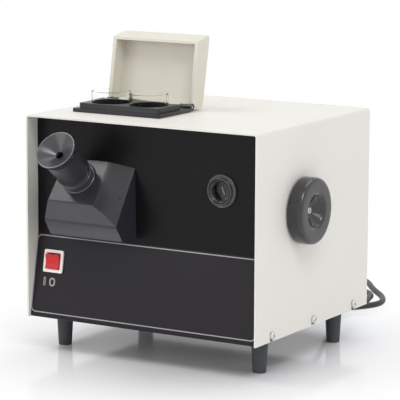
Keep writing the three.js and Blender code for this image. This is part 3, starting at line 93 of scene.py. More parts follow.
def makeCamera():
    back, roll = towards(camera["azimuth"], camera["elevation"]), math.radians(camera["roll"])
    level = (-back).cross(Vector((0, 0, 1))).normalized()
    upright = level.cross(-back)
    right = level * math.cos(roll) + upright * math.sin(roll)
    up = upright * math.cos(roll) - level * math.sin(roll)
    data = bpy.data.cameras.new("camera")
    data.sensor_width = camera["sensorMm"]
    data.lens = camera["sensorMm"] * camera["focalPixels"] / camera["imagePixels"]
    half = (camera["imagePixels"] - 1) / 2
    data.shift_x = (half - camera["opticalCentre"][0]) / camera["imagePixels"]
    data.shift_y = (camera["opticalCentre"][1] - half) / camera["imagePixels"]
    data.clip_end = camera["farMetres"]
    eye = bpy.data.objects.new("camera", data)
    spot = place(*camera["target"]) + back * camera["distance"] * mm
    eye.matrix_world = Matrix.Translation(spot) @ Matrix((right, up, back)).transposed().to_4x4()
    scene.collection.objects.link(eye)
    scene.camera = eye


makeCamera()
print("camera placed")

# Materials


def linear(text):
    channels = [int(text[i:i + 2], 16) / 255 for i in (1, 3, 5)]
    return [c / 12.92 if c <= 0.04045 else ((c + 0.055) / 1.055) ** 2.4 for c in channels] + [1]


def addNode(tree, kind, values=None, links=None, **settings):
    # A link comes from a node's first output in use, from the one named beside it, or from each in a list
    node = tree.nodes.new(kind)
    for name, value in settings.items():
        setattr(node, name, value)
    for socket, value in (values or {}).items():
        node.inputs[socket].default_value = value
    for socket, sources in (links or {}).items():
        for source in sources if isinstance(sources, list) else [sources]:
            if isinstance(source, tuple):
                output = source[0].outputs[source[1]]
            else:
                output = next(output for output in source.outputs if output.enabled)
            tree.links.new(output, node.inputs[socket])
    return node


def blankMaterial(name):
    material = bpy.data.materials.new(name)
    material.use_nodes = True
    tree = material.node_tree
    tree.nodes.clear()
    return material, tree


def reliefOf(tree, where, grainMm, relief, depthMm, detail=2.0):
    grain = addNode(tree, "ShaderNodeTexNoise", {"Scale": 1000 / grainMm, "Detail": detail},
                    {"Vector": (where, "Object")})
    return addNode(tree, "ShaderNodeBump", {"Strength": relief, "Distance": depthMm * mm}, {"Height": grain})


def finishOf(name, look):  # a fine grain in its relief, and slow drifts in its colour and gloss
    material, tree = blankMaterial(name)
    where = addNode(tree, "ShaderNodeTexCoord")
    drift = addNode(tree, "ShaderNodeTexNoise", {"Scale": 1000 / look["driftMm"], "Detail": 3.0},
                    {"Vector": (where, "Object")})
    tint = addNode(tree, "ShaderNodeMix", {"A": linear(look["colour"]), "B": linear(look["tint"])},
                   {"Factor": drift}, data_type="RGBA")
    low, high = look["roughness"]
    gloss = addNode(tree, "ShaderNodeMapRange", {"To Min": low, "To Max": high}, {"Value": drift})
    relief = reliefOf(tree, where, look["grainMm"], look["relief"], look["depthMm"], look.get("detail", 2.0))
    shader = addNode(tree, "ShaderNodeBsdfPrincipled",
                     {"Metallic": look.get("metallic", 0.0), "IOR": look.get("ior", 1.5),
                      "Specular IOR Level": look.get("specular", 0.5)},
                     {"Base Color": tint, "Roughness": gloss, "Normal": relief})
    addNode(tree, "ShaderNodeOutputMaterial", links={"Surface": shader})
    return material


finishes = {
    # Powder coat on steel: a faint orange peel of about 2 mm breaks up the reflections.
    "powderCoat": {"colour": "#E7E4DD", "tint": "#E3E0D9", "driftMm": 90, "roughness": (0.42, 0.5),
                   "grainMm": 2.2, "relief": 0.12, "depthMm": 0.05, "specular": 0.35},
    # Black acrylic sheet, cast and polished: smooth and even, with slow waves in its gloss.
    "blackAcrylic": {"colour": "#111012", "tint": "#141213", "driftMm": 60, "roughness": (0.3, 0.38),
                     "grainMm": 1.2, "relief": 0.03, "depthMm": 0.02, "specular": 0.15},
    # Printed polycarbonate overlay: a fine velvet texture, drawn at 0.8 mm so that it shows.
    "greyOverlay": {"colour": "#1F1C20", "tint": "#221F23", "driftMm": 50, "roughness": (0.4, 0.5),
                    "grainMm": 0.8, "relief": 0.1, "depthMm": 0.03, "specular": 0.2},
    # Painted sand casting: semi-gloss paint, over pits of about 1 mm that the sand has left.
    "paintedCasting": {"colour": "#302F34", "tint": "#2D2C31", "driftMm": 30, "roughness": (0.22, 0.28),
                       "grainMm": 1.1, "relief": 0.15, "depthMm": 0.06, "detail": 3.0, "specular": 0.4},
    # ABS moulding, polished where it is turned: dark, with bright lines along its sides.
    "blackAbs": {"colour": "#353439", "tint": "#313035", "driftMm": 18, "roughness": (0.2, 0.26),
                 "grainMm": 0.7, "relief": 0.04, "depthMm": 0.02, "specular": 0.7},
    # Satin black paint on the base tray.
    "blackPaint": {"colour": "#1B1B1D", "tint": "#202022", "driftMm": 40, "roughness": (0.4, 0.5),
                   "grainMm": 1.4, "relief": 0.1, "depthMm": 0.03, "specular": 0.3},
    # Dull nickel on the cover's screws: it takes on the paint round it.
    "dullNickel": {"colour": "#DEDDDA", "tint": "#CFCECB", "driftMm": 3, "roughness": (0.42, 0.55),
                   "grainMm": 0.5, "relief": 0.12, "depthMm": 0.01, "metallic": 1.0},
    # Moulded rubber: matt, with a dusty bloom.
    "feetRubber": {"colour": "#3A3C3F", "tint": "#414346", "driftMm": 12, "roughness": (0.6, 0.75),
                   "grainMm": 0.9, "relief": 0.25, "depthMm": 0.06},
    # Zinc-plated sheet: dull, with a spangle of about 8 mm.
    "zincSheet": {"colour": "#A9ACAF", "tint": "#969A9E", "driftMm": 8, "roughness": (0.38, 0.55),
                  "grainMm": 1.5, "relief": 0.08, "depthMm": 0.02, "metallic": 1.0},
    # Turned and nickel-plated steel: fine tool marks dull its shine.
    "platedSteel": {"colour": "#C3C4C4", "tint": "#B3B4B6", "driftMm": 6, "roughness": (0.22, 0.34),
                    "grainMm": 0.5, "relief": 0.1, "depthMm": 0.01, "metallic": 1.0},
    # Cut brass: warm, satin from the hob.
    "cutBrass": {"colour": "#D0AE62", "tint": "#BE9A50", "driftMm": 10, "roughness": (0.25, 0.38),
                 "grainMm": 0.6, "relief": 0.12, "depthMm": 0.02, "metallic": 1.0},
    # Sintered bronze: porous and oily, so darker and duller than brass.
    "sinteredBronze": {"colour": "#A47D4C", "tint": "#8C683C", "driftMm": 5, "roughness": (0.4, 0.55),
                       "grainMm": 0.4, "relief": 0.3, "depthMm": 0.03, "metallic": 1.0},
    # Black anodised aluminium: the dyed oxide hides the metal under a soft, deep grey.
    "blackAnodised": {"colour": "#1C1C1E", "tint": "#222224", "driftMm": 20, "roughness": (0.35, 0.45),
                      "grainMm": 0.5, "relief": 0.1, "depthMm": 0.02},
    # Ivory ABS moulding: satin, a little warmer in patches, as it yellows.
    "ivoryAbs": {"colour": "#DDD9CD", "tint": "#D7D2C4", "driftMm": 45, "roughness": (0.42, 0.5),
                 "grainMm": 1.0, "relief": 0.12, "depthMm": 0.03, "specular": 0.4},
    # Machined black acetal: close and waxy.
    "blackAcetal": {"colour": "#151517", "tint": "#1A1A1D", "driftMm": 14, "roughness": (0.3, 0.42),
                    "grainMm": 0.8, "relief": 0.12, "depthMm": 0.03},
    # Phenolic moulding: hard and polished, so edges catch bright lines.
    "phenolic": {"colour": "#242426", "tint": "#28282A", "driftMm": 16, "roughness": (0.1, 0.16),
                 "grainMm": 1.6, "relief": 0.04, "depthMm": 0.02, "ior": 1.6},
    # Off-white nylon moulding: glossy, with a close skin.
    "whiteNylon": {"colour": "#F8F1EC", "tint": "#F3EBE6", "driftMm": 9, "roughness": (0.25, 0.32),
                   "grainMm": 0.8, "relief": 0.05, "depthMm": 0.02},
    # Red polycarbonate of a lit rocker: moulded and polished, with small drifts in its depth.
    "redPolycarbonate": {"colour": "#D1292D", "tint": "#C62327", "driftMm": 7, "roughness": (0.3, 0.38),
                         "grainMm": 1.0, "relief": 0.05, "depthMm": 0.02, "specular": 0.3},
    # Mains cable PVC: a dull skin with a slight drawn ripple.
    "cablePvc": {"colour": "#1E1E20", "tint": "#262628", "driftMm": 15, "roughness": (0.4, 0.52),
                 "grainMm": 1.2, "relief": 0.15, "depthMm": 0.04},
    # Silver screen ink: its flakes scatter the light to a plain grey.
    "silverInk": {"colour": "#A6A3A6", "tint": "#999699", "driftMm": 4, "roughness": (0.4, 0.5),
                  "grainMm": 0.3, "relief": 0.2, "depthMm": 0.01},
    # White screen ink: matt and thick enough to hide the black under it.
    "whiteInk": {"colour": "#E9E8EA", "tint": "#DDDCDE", "driftMm": 3, "roughness": (0.5, 0.6),
                 "grainMm": 0.3, "relief": 0.15, "depthMm": 0.01},
    # Steatite ceramic: pale, with a fine fired tooth.
    "steatite": {"colour": "#E8E5DC", "tint": "#DEDACE", "driftMm": 8, "roughness": (0.55, 0.65),
                 "grainMm": 0.7, "relief": 0.2, "depthMm": 0.03},
    # Laminated iron, stamped and dipped in varnish: brown-grey and dull.
    "varnishedIron": {"colour": "#4A4640", "tint": "#57524A", "driftMm": 6, "roughness": (0.45, 0.6),
                      "grainMm": 0.6, "relief": 0.3, "depthMm": 0.05},
}
materials = {name: finishOf(name, look) for name, look in finishes.items()}

glasses = {
    # Borosilicate glass, drawn as tube: so clear that only its edges show, which asks for a low IOR.
    "boroGlass": {"colour": "#FDFEFD", "roughness": 0.0, "ior": 1.09, "waveMm": 30, "relief": 0.01},
    # Crown glass, ground and polished: clear, with a plain reflection.
    "crownGlass": {"colour": "#F8FAFA", "roughness": 0.0, "ior": 1.35, "waveMm": 40, "relief": 0.01},
    # Soda glass bulb, frosted with acid: it blurs what is behind it.
    "frostedGlass": {"colour": "#FBF6EA", "roughness": 0.45, "ior": 1.45, "waveMm": 3, "relief": 0.05},
    # Opal acrylic sheet: milky, so that it spreads the light.
    "opalAcrylic": {"colour": "#F7F6F0", "roughness": 0.6, "ior": 1.49, "waveMm": 5, "relief": 0.05},
}


def glassOf(name, look):
    material, tree = blankMaterial(name)
    relief = reliefOf(tree, addNode(tree, "ShaderNodeTexCoord"), look["waveMm"], look["relief"], 1)
    shader = addNode(tree, "ShaderNodeBsdfPrincipled",
                     {"Base Color": linear(look["colour"]), "Roughness": look["roughness"], "IOR": look["ior"],
                      "Transmission Weight": 1.0}, {"Normal": relief})
    addNode(tree, "ShaderNodeOutputMaterial", links={"Surface": shader})
    return material


materials.update({name: glassOf(name, look) for name, look in glasses.items()})
print("made", len(materials), "materials")

# Pieces


def addPiece(name, mesh, finish, body="cabinet", slot="cover_paint", instead=()):
    mesh.materials.clear()
    mesh.materials.append(materials[finish])
    piece = bpy.data.objects.new(name, mesh)
    scene.collection.objects.link(piece)
    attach(piece, body)
    if instead:
        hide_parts(*instead)
    return piece


@contextmanager
def edited(mesh):  # opened for editing, and written back at the end
    work = bmesh.new()
    work.from_mesh(mesh)
    yield work
    work.to_mesh(mesh)
    work.free()


def smooth(mesh, angle=36):
    mesh.shade_smooth()
    mesh.set_sharp_from_angle(angle=math.radians(angle))


def meshFrom(name, points, faces):
    mesh = bpy.data.meshes.new(name)
    mesh.from_pydata(points, [], faces)
    with edited(mesh) as work:
        bmesh.ops.remove_doubles(work, verts=work.verts, dist=0.001 * mm)
        bmesh.ops.recalc_face_normals(work, faces=work.faces)
    smooth(mesh)
    return mesh


def evaluated(name, data, tree=None, values=None):  # a text, or what a tree makes, as a plain mesh
    holder = bpy.data.objects.new(name + "_holder", data)
    if tree:
        modifier = holder.modifiers.new("tree", "NODES")
        modifier.node_group = tree
        for item in tree.interface.items_tree:
            if item.in_out == "INPUT" and item.name in values:
                modifier[item.identifier] = values[item.name]
    scene.collection.objects.link(holder)
    bpy.context.view_layer.update()
    mesh = bpy.data.meshes.new_from_object(holder.evaluated_get(bpy.context.evaluated_depsgraph_get()))
    holder.modifiers.clear()
    bpy.data.objects.remove(holder)
    mesh.name = name
    return mesh


def nodeTree(name, inputs):  # a tree with a named input for each size, and one for the finish
    tree = bpy.data.node_groups.new(name, "GeometryNodeTree")
    for label, kind in {"Geometry": "Geometry", **inputs, "finish": "Material"}.items():
        tree.interface.new_socket(label, in_out="INPUT", socket_type="NodeSocket" + kind)
    tree.interface.new_socket("Geometry", in_out="OUTPUT", socket_type="NodeSocketGeometry")
    return tree, addNode(tree, "NodeGroupInput")


def closeTree(tree, source, start):
    real = addNode(tree, "GeometryNodeRealizeInstances", links={"Geometry": source})
    dressed = addNode(tree, "GeometryNodeSetMaterial", links={"Geometry": real, "Material": (start, "finish")})
    addNode(tree, "NodeGroupOutput", links={"Geometry": dressed})
    return tree


def settingTree():  # one part on every point, its z along the point's way out, rolled at random
    tree, start = nodeTree("setOnPoints", {"part": "Object", "roll": "Float", "seed": "Int"})
    part = addNode(tree, "GeometryNodeObjectInfo", links={"Object": (start, "part")})
    outward = addNode(tree, "GeometryNodeInputNamedAttribute", {"Name": "outward"}, data_type="FLOAT_VECTOR")
    aim = addNode(tree, "FunctionNodeAlignRotationToVector", links={"Vector": outward}, axis="Z")
    # Sockets by number, because names repeat here for each kind of value: least 2, most 3 and seed 8
    chance = addNode(tree, "FunctionNodeRandomValue", {2: 0.0}, {3: (start, "roll"), 8: (start, "seed")},
                     data_type="FLOAT")
    roll = addNode(tree, "FunctionNodeAxisAngleToRotation", {"Axis": (0, 0, 1)}, {"Angle": chance})
    turned = addNode(tree, "FunctionNodeRotateRotation", links={"Rotation": aim, "Rotate By": roll},
                     rotation_space="LOCAL")
    copies = addNode(tree, "GeometryNodeInstanceOnPoints",
                     links={"Points": (start, "Geometry"), "Instance": (part, "Geometry"), "Rotation": turned})
    return closeTree(tree, copies, start)


setOnPoints = settingTree()


def setPieces(name, part, spots, outward, finish, roll=0.0, seed=1, **where):
    source = bpy.data.objects.new(name + "_one", part)
    scene.collection.objects.link(source)
    points = bpy.data.meshes.new(name + "_points")
    points.from_pydata(spots, [], [])
    ways = points.attributes.new("outward", "FLOAT_VECTOR", "POINT")
    ways.data.foreach_set("vector", sum(outward, ()))
    mesh = evaluated(name, points, setOnPoints,
                     {"part": source, "roll": roll, "seed": seed, "finish": materials[finish]})
    bpy.data.objects.remove(source)
    smooth(mesh)
    return addPiece(name, mesh, finish, **where)


# The CAD's own shape with its edges eased by so many millimetres, for a piece whose form is right
easedEdges = {
    "cover_shell": ("powderCoat", 0.6),
    "base_tray": ("blackPaint", 0.3),
    "front_panel": ("blackAcrylic", 0.3),
    "console_plate": ("greyOverlay", 0.6),
    "switch_case": ("whiteNylon", 0.5),
    "switch_rocker": ("redPolycarbonate", 0.5),
    "eyepiece_housing": ("paintedCasting", 1.0),
    "prism": ("crownGlass", 0.3),
    "drive_bracket": ("zincSheet", 0.3),
    "wheel_shaft_bush": ("sinteredBronze", 0.3),
    "knob_shaft_bush": ("sinteredBronze", 0.3),
    "cover_bush": ("sinteredBronze", 0.3),
    "knob_shaft": ("platedSteel", 0.3),
    "wheel_shaft": ("platedSteel", 0.3),
    "knob_gear": ("cutBrass", 0.15),
    "wheel_gear": ("cutBrass", 0.15),
    "jar_block": ("blackAcetal", 0.5),
    "jar_cage": ("blackAcetal", 0.3),
    "lid": ("ivoryAbs", 0.9),
    "hinge_pin": ("platedSteel", 0.2),
    "lamp_house": ("zincSheet", 0.3),
    "diffuser": ("opalAcrylic", 0.4),
    "lamp_shelf": ("zincSheet", 0.3),
    "lamp_holder": ("steatite", 0.5),
    "lamp": ("frostedGlass", 0.0),
    "transformer": ("varnishedIron", 0.4),
    "terminal_block": ("steatite", 0.4),
    "rear_panel": ("zincSheet", 0.3),
    "plug": ("cablePvc", 0.8),
}
easing = {"mergeMm": 0.002, "flatAngle": 0.6, "cornerAngle": 32, "segments": 2}


def easedCopy(node, finish, width):
    mesh = frame["nodes"][node].data.copy()
    with edited(mesh) as work:
        bmesh.ops.remove_doubles(work, verts=work.verts, dist=easing["mergeMm"] * mm)
        bmesh.ops.dissolve_limit(work, angle_limit=math.radians(easing["flatAngle"]), verts=work.verts,
                                 edges=work.edges)
    smooth(mesh)
    piece = addPiece(node + "_dressed", mesh, finish, bodyOf[node], instead=(node,))
    if width:
        ease = piece.modifiers.new("ease", "BEVEL")
        ease.width = width * mm
        ease.segments = easing["segments"]
        ease.limit_method = "ANGLE"
        ease.angle_limit = math.radians(easing["cornerAngle"])
        ease.harden_normals = True
    return piece


eased = {node: easedCopy(node, *look) for node, look in easedEdges.items()}

# Places are in millimetres from the cabinet's middle, and each share is of the softened width
casting = {"left": -92, "reach": -100, "front": -119, "softMm": 3.2, "frontShare": 0.55, "otherShare": 0.3,
           "minAngle": 14, "segments": 4}


def softenCasting(piece):  # the housing's left and front edges are rounder than those at its foot
    with edited(piece.data) as work:
        weights = work.edges.layers.float.new("bevel_weight_edge")
        for edge in work.edges:
            if len(edge.link_faces) != 2 or edge.calc_face_angle() < math.radians(casting["minAngle"]):
                continue
            spot = (edge.verts[0].co + edge.verts[1].co) / 2 / mm - middle / mm
            foremost = (min(v.co.y for v in edge.verts) - middle.y) / mm
            if spot.x < casting["left"] and foremost < casting["reach"]:
                edge[weights] = 1
            else:
                edge[weights] = casting["frontShare" if spot.y < casting["front"] else "otherShare"]
    ease = piece.modifiers["ease"]
    ease.limit_method = "WEIGHT"
    ease.width = casting["softMm"] * mm
    ease.segments = casting["segments"]


softenCasting(eased["eyepiece_housing"])
print("eased", len(eased), "pieces")

# Turned pieces: each profile is (radius, height) in millimetres, from the node's lowest end along its axis.
# The small offsets in a profile are its eased edges.

along = {way: Matrix.Rotation(math.radians(degrees), 3, axis) for way, degrees, axis in (
    ("up", 0, "X"), ("left", -90, "Y"), ("right", 90, "Y"), ("front", 90, "X"), ("rear", -90, "X"),
    ("eyepiece", 51, "X"))}


def lowEnd(node, turn):  # the middle of the node's lowest end along the turned axis
    points = [turn.inverted() @ vertex.co for vertex in frame["nodes"][node].data.vertices]
    low, high = ([pick(values) for values in zip(*points)] for pick in (min, max))
    return turn @ Vector(((low[0] + high[0]) / 2, (low[1] + high[1]) / 2, low[2]))


def roundCorners(profile, ease, steps=3):
    if not ease:
        return profile
    closed = profile[0] == profile[-1]
    points = [Vector(p) for p in (profile[:-1] if closed else profile)]
    made = []
    for i, point in enumerate(points):
        if not closed and i in (0, len(points) - 1):
            made.append(tuple(point))
            continue
        before, after = points[i - 1] - point, points[(i + 1) % len(points)] - point
        reach = min(ease, before.length * 0.45, after.length * 0.45)  # less than half, so that none meet
        start, end = point + before.normalized() * reach, point + after.normalized() * reach
        for k in range(steps + 1):
            t = k / steps
            made.append(tuple(start * (1 - t) ** 2 + point * 2 * t * (1 - t) + end * t ** 2))
    return made + made[:1] if closed else made


def facesBetween(rings, closed):  # from each ring to the next, with a pole's corners made one
    faces = []
    for lower, upper in zip(rings, rings[1:] + rings[:1] if closed else rings[1:]):
        for k in range(len(lower)):
            after = (k + 1) % len(lower)
            faces.append(list(dict.fromkeys((lower[k], lower[after], upper[after], upper[k]))))
    return faces


def turnedMesh(name, profile, turn, foot, ease=0.4, sides=96):
    rings, points = [], []
    outline = roundCorners(profile, ease)
    closed = outline[0] == outline[-1]
    for radius, height in (outline[:-1] if closed else outline):
        if radius < 0.001:  # a pole, which is one point
            rings.append([len(points)] * sides)
            points.append(foot + turn @ Vector((0, 0, height * mm)))
            continue
        rings.append(range(len(points), len(points) + sides))
        for k in range(sides):
            angle = 2 * math.pi * k / sides
            spot = Vector((radius * math.cos(angle), radius * math.sin(angle), height))
            points.append(foot + turn @ spot * mm)
    return meshFrom(name, points, facesBetween(rings, closed))


def turnedPiece(node, profile, axis, finish, ease=0.4, sides=96):
    turn = along[axis]
    mesh = turnedMesh(node, profile, turn, lowEnd(node, turn), ease, sides)
    return addPiece(node + "_turned", mesh, finish, bodyOf[node], instead=(node,))


foot = {"bottom": 6.6, "top": 8.4, "height": 33.2, "stud": 3, "studTop": 36, "recess": 1.0}


def footProfile(bottom, top, height, stud, studTop, recess):
    return [(0, recess), (bottom - 2, recess), (bottom - 1.6, 0), (bottom, 0), (top, height), (stud, height),
            (stud, studTop), (0, studTop)]


feet = ["foot_" + corner for corner in ("front_left", "front_right", "rear_left", "rear_right")]
setPieces("feet", turnedMesh("foot", footProfile(**foot), along["up"], Vector(), ease=0.5, sides=64),
          [lowEnd(node, along["up"]) for node in feet], [(0, 0, 1)] * 4, "feetRubber", instead=feet)

collar = {"bore": 12.5, "spigot": 14.2, "spigotTop": 2.8, "flange": 17.7, "flangeEdge": 4.2, "crown": 16.8,
          "crownTop": 5, "neck": 14.5, "neckFoot": 5.2, "ring": 15.6, "ringLow": 7.4, "ringHigh": 10.2,
          "groove": 13.7, "grooveLow": 12.2, "grooveHigh": 13.6, "slope": 0.4, "height": 15.5}


def collarProfile(bore, spigot, spigotTop, flange, flangeEdge, crown, crownTop, neck, neckFoot, ring, ringLow,
                  ringHigh, groove, grooveLow, grooveHigh, slope, height):
    return [(bore, 0), (spigot, 0), (spigot, spigotTop), (flange, spigotTop), (flange, flangeEdge),
            (crown, crownTop), (neck, neckFoot), (neck, ringLow), (ring, ringLow + slope),
            (ring, ringHigh - slope), (neck, ringHigh), (neck, grooveLow), (groove, grooveLow + slope),
            (groove, grooveHigh - slope), (neck, grooveHigh), (neck, height), (bore, height), (bore, 0)]


turnedPiece("eyepiece_collar", collarProfile(**collar), "eyepiece", "blackAbs", ease=0.3)

barrel = {"spigot": 12.25, "radius": 17.2, "shoulder": 13, "flareFrom": 43.5, "top": 52.5, "cup": 20.3,
          "edge": 1.1, "hole": 3.6, "funnelFoot": 43.5, "chamber": 9, "chamberTop": 39.5}


def barrelProfile(spigot, radius, shoulder, flareFrom, top, cup, edge, hole, funnelFoot, chamber, chamberTop):
    return [(chamber, 0), (spigot, 0), (spigot, shoulder), (radius - 0.9, shoulder), (radius, shoulder + 0.9),
            (radius, flareFrom), (cup, top - 0.5), (cup, top), (cup - edge, top), (hole, funnelFoot),
            (hole, chamberTop), (chamber, chamberTop), (chamber, 0)]


turnedPiece("eyepiece_barrel", barrelProfile(**barrel), "eyepiece", "blackAbs", ease=0.35, sides=128)

lens = {"radius": 8.75, "edge": 1.6, "bulge": 1.5, "steps": 10}


def lensProfile(radius, edge, bulge, steps):
    shares = [i / steps for i in range(steps + 1)]
    low = [(radius * s, bulge * s ** 2) for s in shares]
    return low + [(radius * s, bulge + edge + bulge * (1 - s ** 2)) for s in reversed(shares)]


turnedPiece("eye_lens", lensProfile(**lens), "eyepiece", "crownGlass", ease=0)

bezel = {"glass": 11.25, "ledge": 2.3, "bore": 9.8, "spigot": 12.6, "back": 5.3, "flange": 16,
         "flangeFront": 7.5, "ring": 13.4, "front": 11, "lip": 12.2, "throat": 8.2}


def bezelProfile(glass, ledge, bore, spigot, back, flange, flangeFront, ring, front, lip, throat):
    return [(glass, 0), (spigot, 0), (spigot, back), (flange, back), (flange, flangeFront - 1),
            (ring + 0.6, flangeFront), (ring, flangeFront + 0.4), (ring, front - 0.6), (ring - 0.6, front),
            (lip, front), (bore + 0.8, throat), (bore, throat - 0.4), (bore, ledge), (glass, ledge), (glass, 0)]


turnedPiece("window_bezel", bezelProfile(**bezel), "front", "blackAbs", ease=0.35, sides=128)

window = {"radius": 11, "thick": 2}
turnedPiece("window_glass", [
    (0, 0), (window["radius"], 0), (window["radius"], window["thick"] - 0.5),
    (window["radius"] - 0.4, window["thick"]), (0, window["thick"])], "front", "crownGlass", ease=0.2)

knob = {"bore": 4.3, "radius": 32.4, "thick": 15.6, "edge": 3.4, "dish": 15.8, "lip": 2.5, "floor": 4.6,
        "floorHeight": 6.2, "hub": 4, "screw": 1.9}


def knobProfile(bore, radius, thick, edge, dish, lip, floor, floorHeight, hub, screw):
    return [(bore, 0), (radius - 1.2, 0), (radius, 1.2), (radius, thick - edge), (radius - 0.9, thick - 1.0),
            (radius - edge, thick), (dish + lip, thick), (dish + 1.2, thick - 0.9), (dish, thick - 1.4),
            (dish - 0.9, thick - 3), (floor + 2.6, floorHeight + 0.6), (floor + 1, floorHeight),
            (screw, floorHeight), (screw, hub), (bore, hub), (bore, 0)]


turnedPiece("knob", knobProfile(**knob), "right", "phenolic", ease=0.7, sides=160)

knobScrew = {"shank": 1.6, "under": 9, "head": 3.6, "top": 10.6, "socket": 0.9, "dome": 0.8}


def knobScrewProfile(shank, under, head, top, socket, dome):
    return [(0, 0), (shank - 0.3, 0), (shank, 0.4), (shank, under), (head, under), (head, top - dome),
            (head - 0.6, top), (socket, top), (socket, top - dome), (0, top - dome)]


turnedPiece("knob_screw", knobScrewProfile(**knobScrew), "right", "platedSteel", ease=0.15, sides=48)

jar = {"radius": 19.3, "inner": 17.6, "floor": 2.2, "corner": 3, "height": 125, "punt": 0.6, "rim": 0.5}


def jarProfile(radius, inner, floor, corner, height, punt, rim):
    return [(0, punt), (radius - 5, punt), (radius - 4, 0), (radius - corner, 0), (radius - 0.8, 0.8),
            (radius, corner), (radius, height - 0.4), (radius - rim, height), (inner + rim, height),
            (inner, height - 0.4), (inner, floor + 2), (inner - 2, floor), (0, floor)]


for node in ("sample_jar", "reference_jar"):
    turnedPiece(node, jarProfile(**jar), "up", "boroGlass", ease=0.3)
print("turned pieces made")

# Screws: slotted cheese heads, each stopped at its own angle

slotCut = {"width": 0.9, "depth": 1.1}
coverScrew = {"shank": 2, "head": 4, "under": 9, "height": 11.4}
rearScrew = {"shank": 1.6, "head": 3.2, "under": 3, "height": 4.9}
grub = {"shank": 1.2, "head": 1.7, "under": 1.7, "height": 2.5}


def screwProfile(shank, head, under, height):
    return [(0, 0), (shank - 0.4, 0), (shank, 0.4), (shank, under), (head, under), (head, height - 0.8),
            (head - 1, height), (0, height)]


def setInOrder(parts, key):  # the same on every run, where an extrusion leaves the order to chance
    rank = {part: i for i, part in enumerate(sorted(parts, key=key))}
    parts.sort(key=rank.get)
    parts.index_update()


def screwMesh(name, size):
    mesh = turnedMesh(name, screwProfile(**size), along["up"], Vector(), ease=0.15, sides=40)
    half, top = slotCut["width"] / 2 * mm, (size["height"] - 0.1) * mm
    with edited(mesh) as work:
        for side in (-half, half):
            bmesh.ops.bisect_plane(work, geom=work.verts[:] + work.edges[:] + work.faces[:],
                                   plane_co=(side, 0, 0), plane_no=(1, 0, 0), dist=1e-7)
        floor = []
        for face in work.faces:
            spot = face.calc_center_median()
            if face.normal.z > 0.9 and spot.z > top and abs(spot.x) < half:
                floor.append(face)
        sunk = bmesh.ops.extrude_face_region(work, geom=floor)
        for vert in [item for item in sunk["geom"] if isinstance(item, bmesh.types.BMVert)]:
            vert.co.z -= slotCut["depth"] * mm
        bmesh.ops.delete(work, geom=floor, context="FACES_KEEP_BOUNDARY")
        bmesh.ops.recalc_face_normals(work, faces=work.faces)
        setInOrder(work.verts, lambda vert: tuple(vert.co))
        setInOrder(work.faces, lambda face: sorted(vert.index for vert in face.verts))
    return mesh


for side, x in (("left", -1), ("right", 1)):
    nodes = [f"side_screw_{side}_{i}" for i in (1, 2, 3)]
    spots = [lowEnd(node, along[side]) for node in nodes]
    setPieces("cover_screws_" + side, screwMesh("screw", coverScrew), spots, [(x, 0, 0)] * 3, "dullNickel",
              roll=math.pi, seed=4, instead=nodes)

rearPlan = {"across": (-118, 0, 118), "up": (42, 224), "face": 114}
rearSpots = [place(x, rearPlan["face"] - rearScrew["under"], z)
             for x in rearPlan["across"] for z in rearPlan["up"]]
setPieces("rear_screws", screwMesh("rear_screw", rearScrew), rearSpots, [(0, 1, 0)] * len(rearSpots),
          "platedSteel", roll=math.pi, seed=7, slot="screw_steel")

grubPlan = {"spot": (-18.9, -118.1, 162.4), "outward": (0.27, -0.788, 0.554), "sunk": 2}
grubFoot = place(*grubPlan["spot"]) - Vector(grubPlan["outward"]) * grubPlan["sunk"] * mm
setPieces("housing_screw", screwMesh("grub", grub), [grubFoot], [grubPlan["outward"]], "blackAnodised",
          roll=1.0, seed=3, slot="screw_steel")
print("screws set")

# Colour wheel: pierced blank, sixteen glasses and one open place, and their numbers

wheel = {"x": 26, "y": -85, "z": 152, "radius": 74, "thick": 3, "hub": 11, "hubLength": 6, "bore": 4.15,
         "ring": 61.79, "stations": 17, "firstAngle": 159.8, "seat": 6, "seatDepth": 2, "hole": 5,
         "glass": 5.85, "glassThick": 1.9, "glassSunk": 0.53}
wheelPlace = Matrix.Translation(place(wheel["x"], wheel["y"], wheel["z"])) @ along["front"].to_4x4()
wheelSizes = ("radius", "thick", "hub", "hubLength", "bore", "ring", "seat", "seatDepth", "hole")
glassSizes = ("ring", "glass", "glassThick")


def stationTree(name, sizes):  # with these of the wheel's sizes, and the stations on their ring
    tree, start = nodeTree(name, {**dict.fromkeys(sizes, "Float"), "stations": "Int", "firstAngle": "Vector"})
    ring = addNode(tree, "GeometryNodeMeshCircle",
                   links={"Vertices": (start, "stations"), "Radius": (start, "ring")})
    spots = addNode(tree, "GeometryNodeTransform", links={"Geometry": ring, "Rotation": (start, "firstAngle")})
    return tree, start, spots


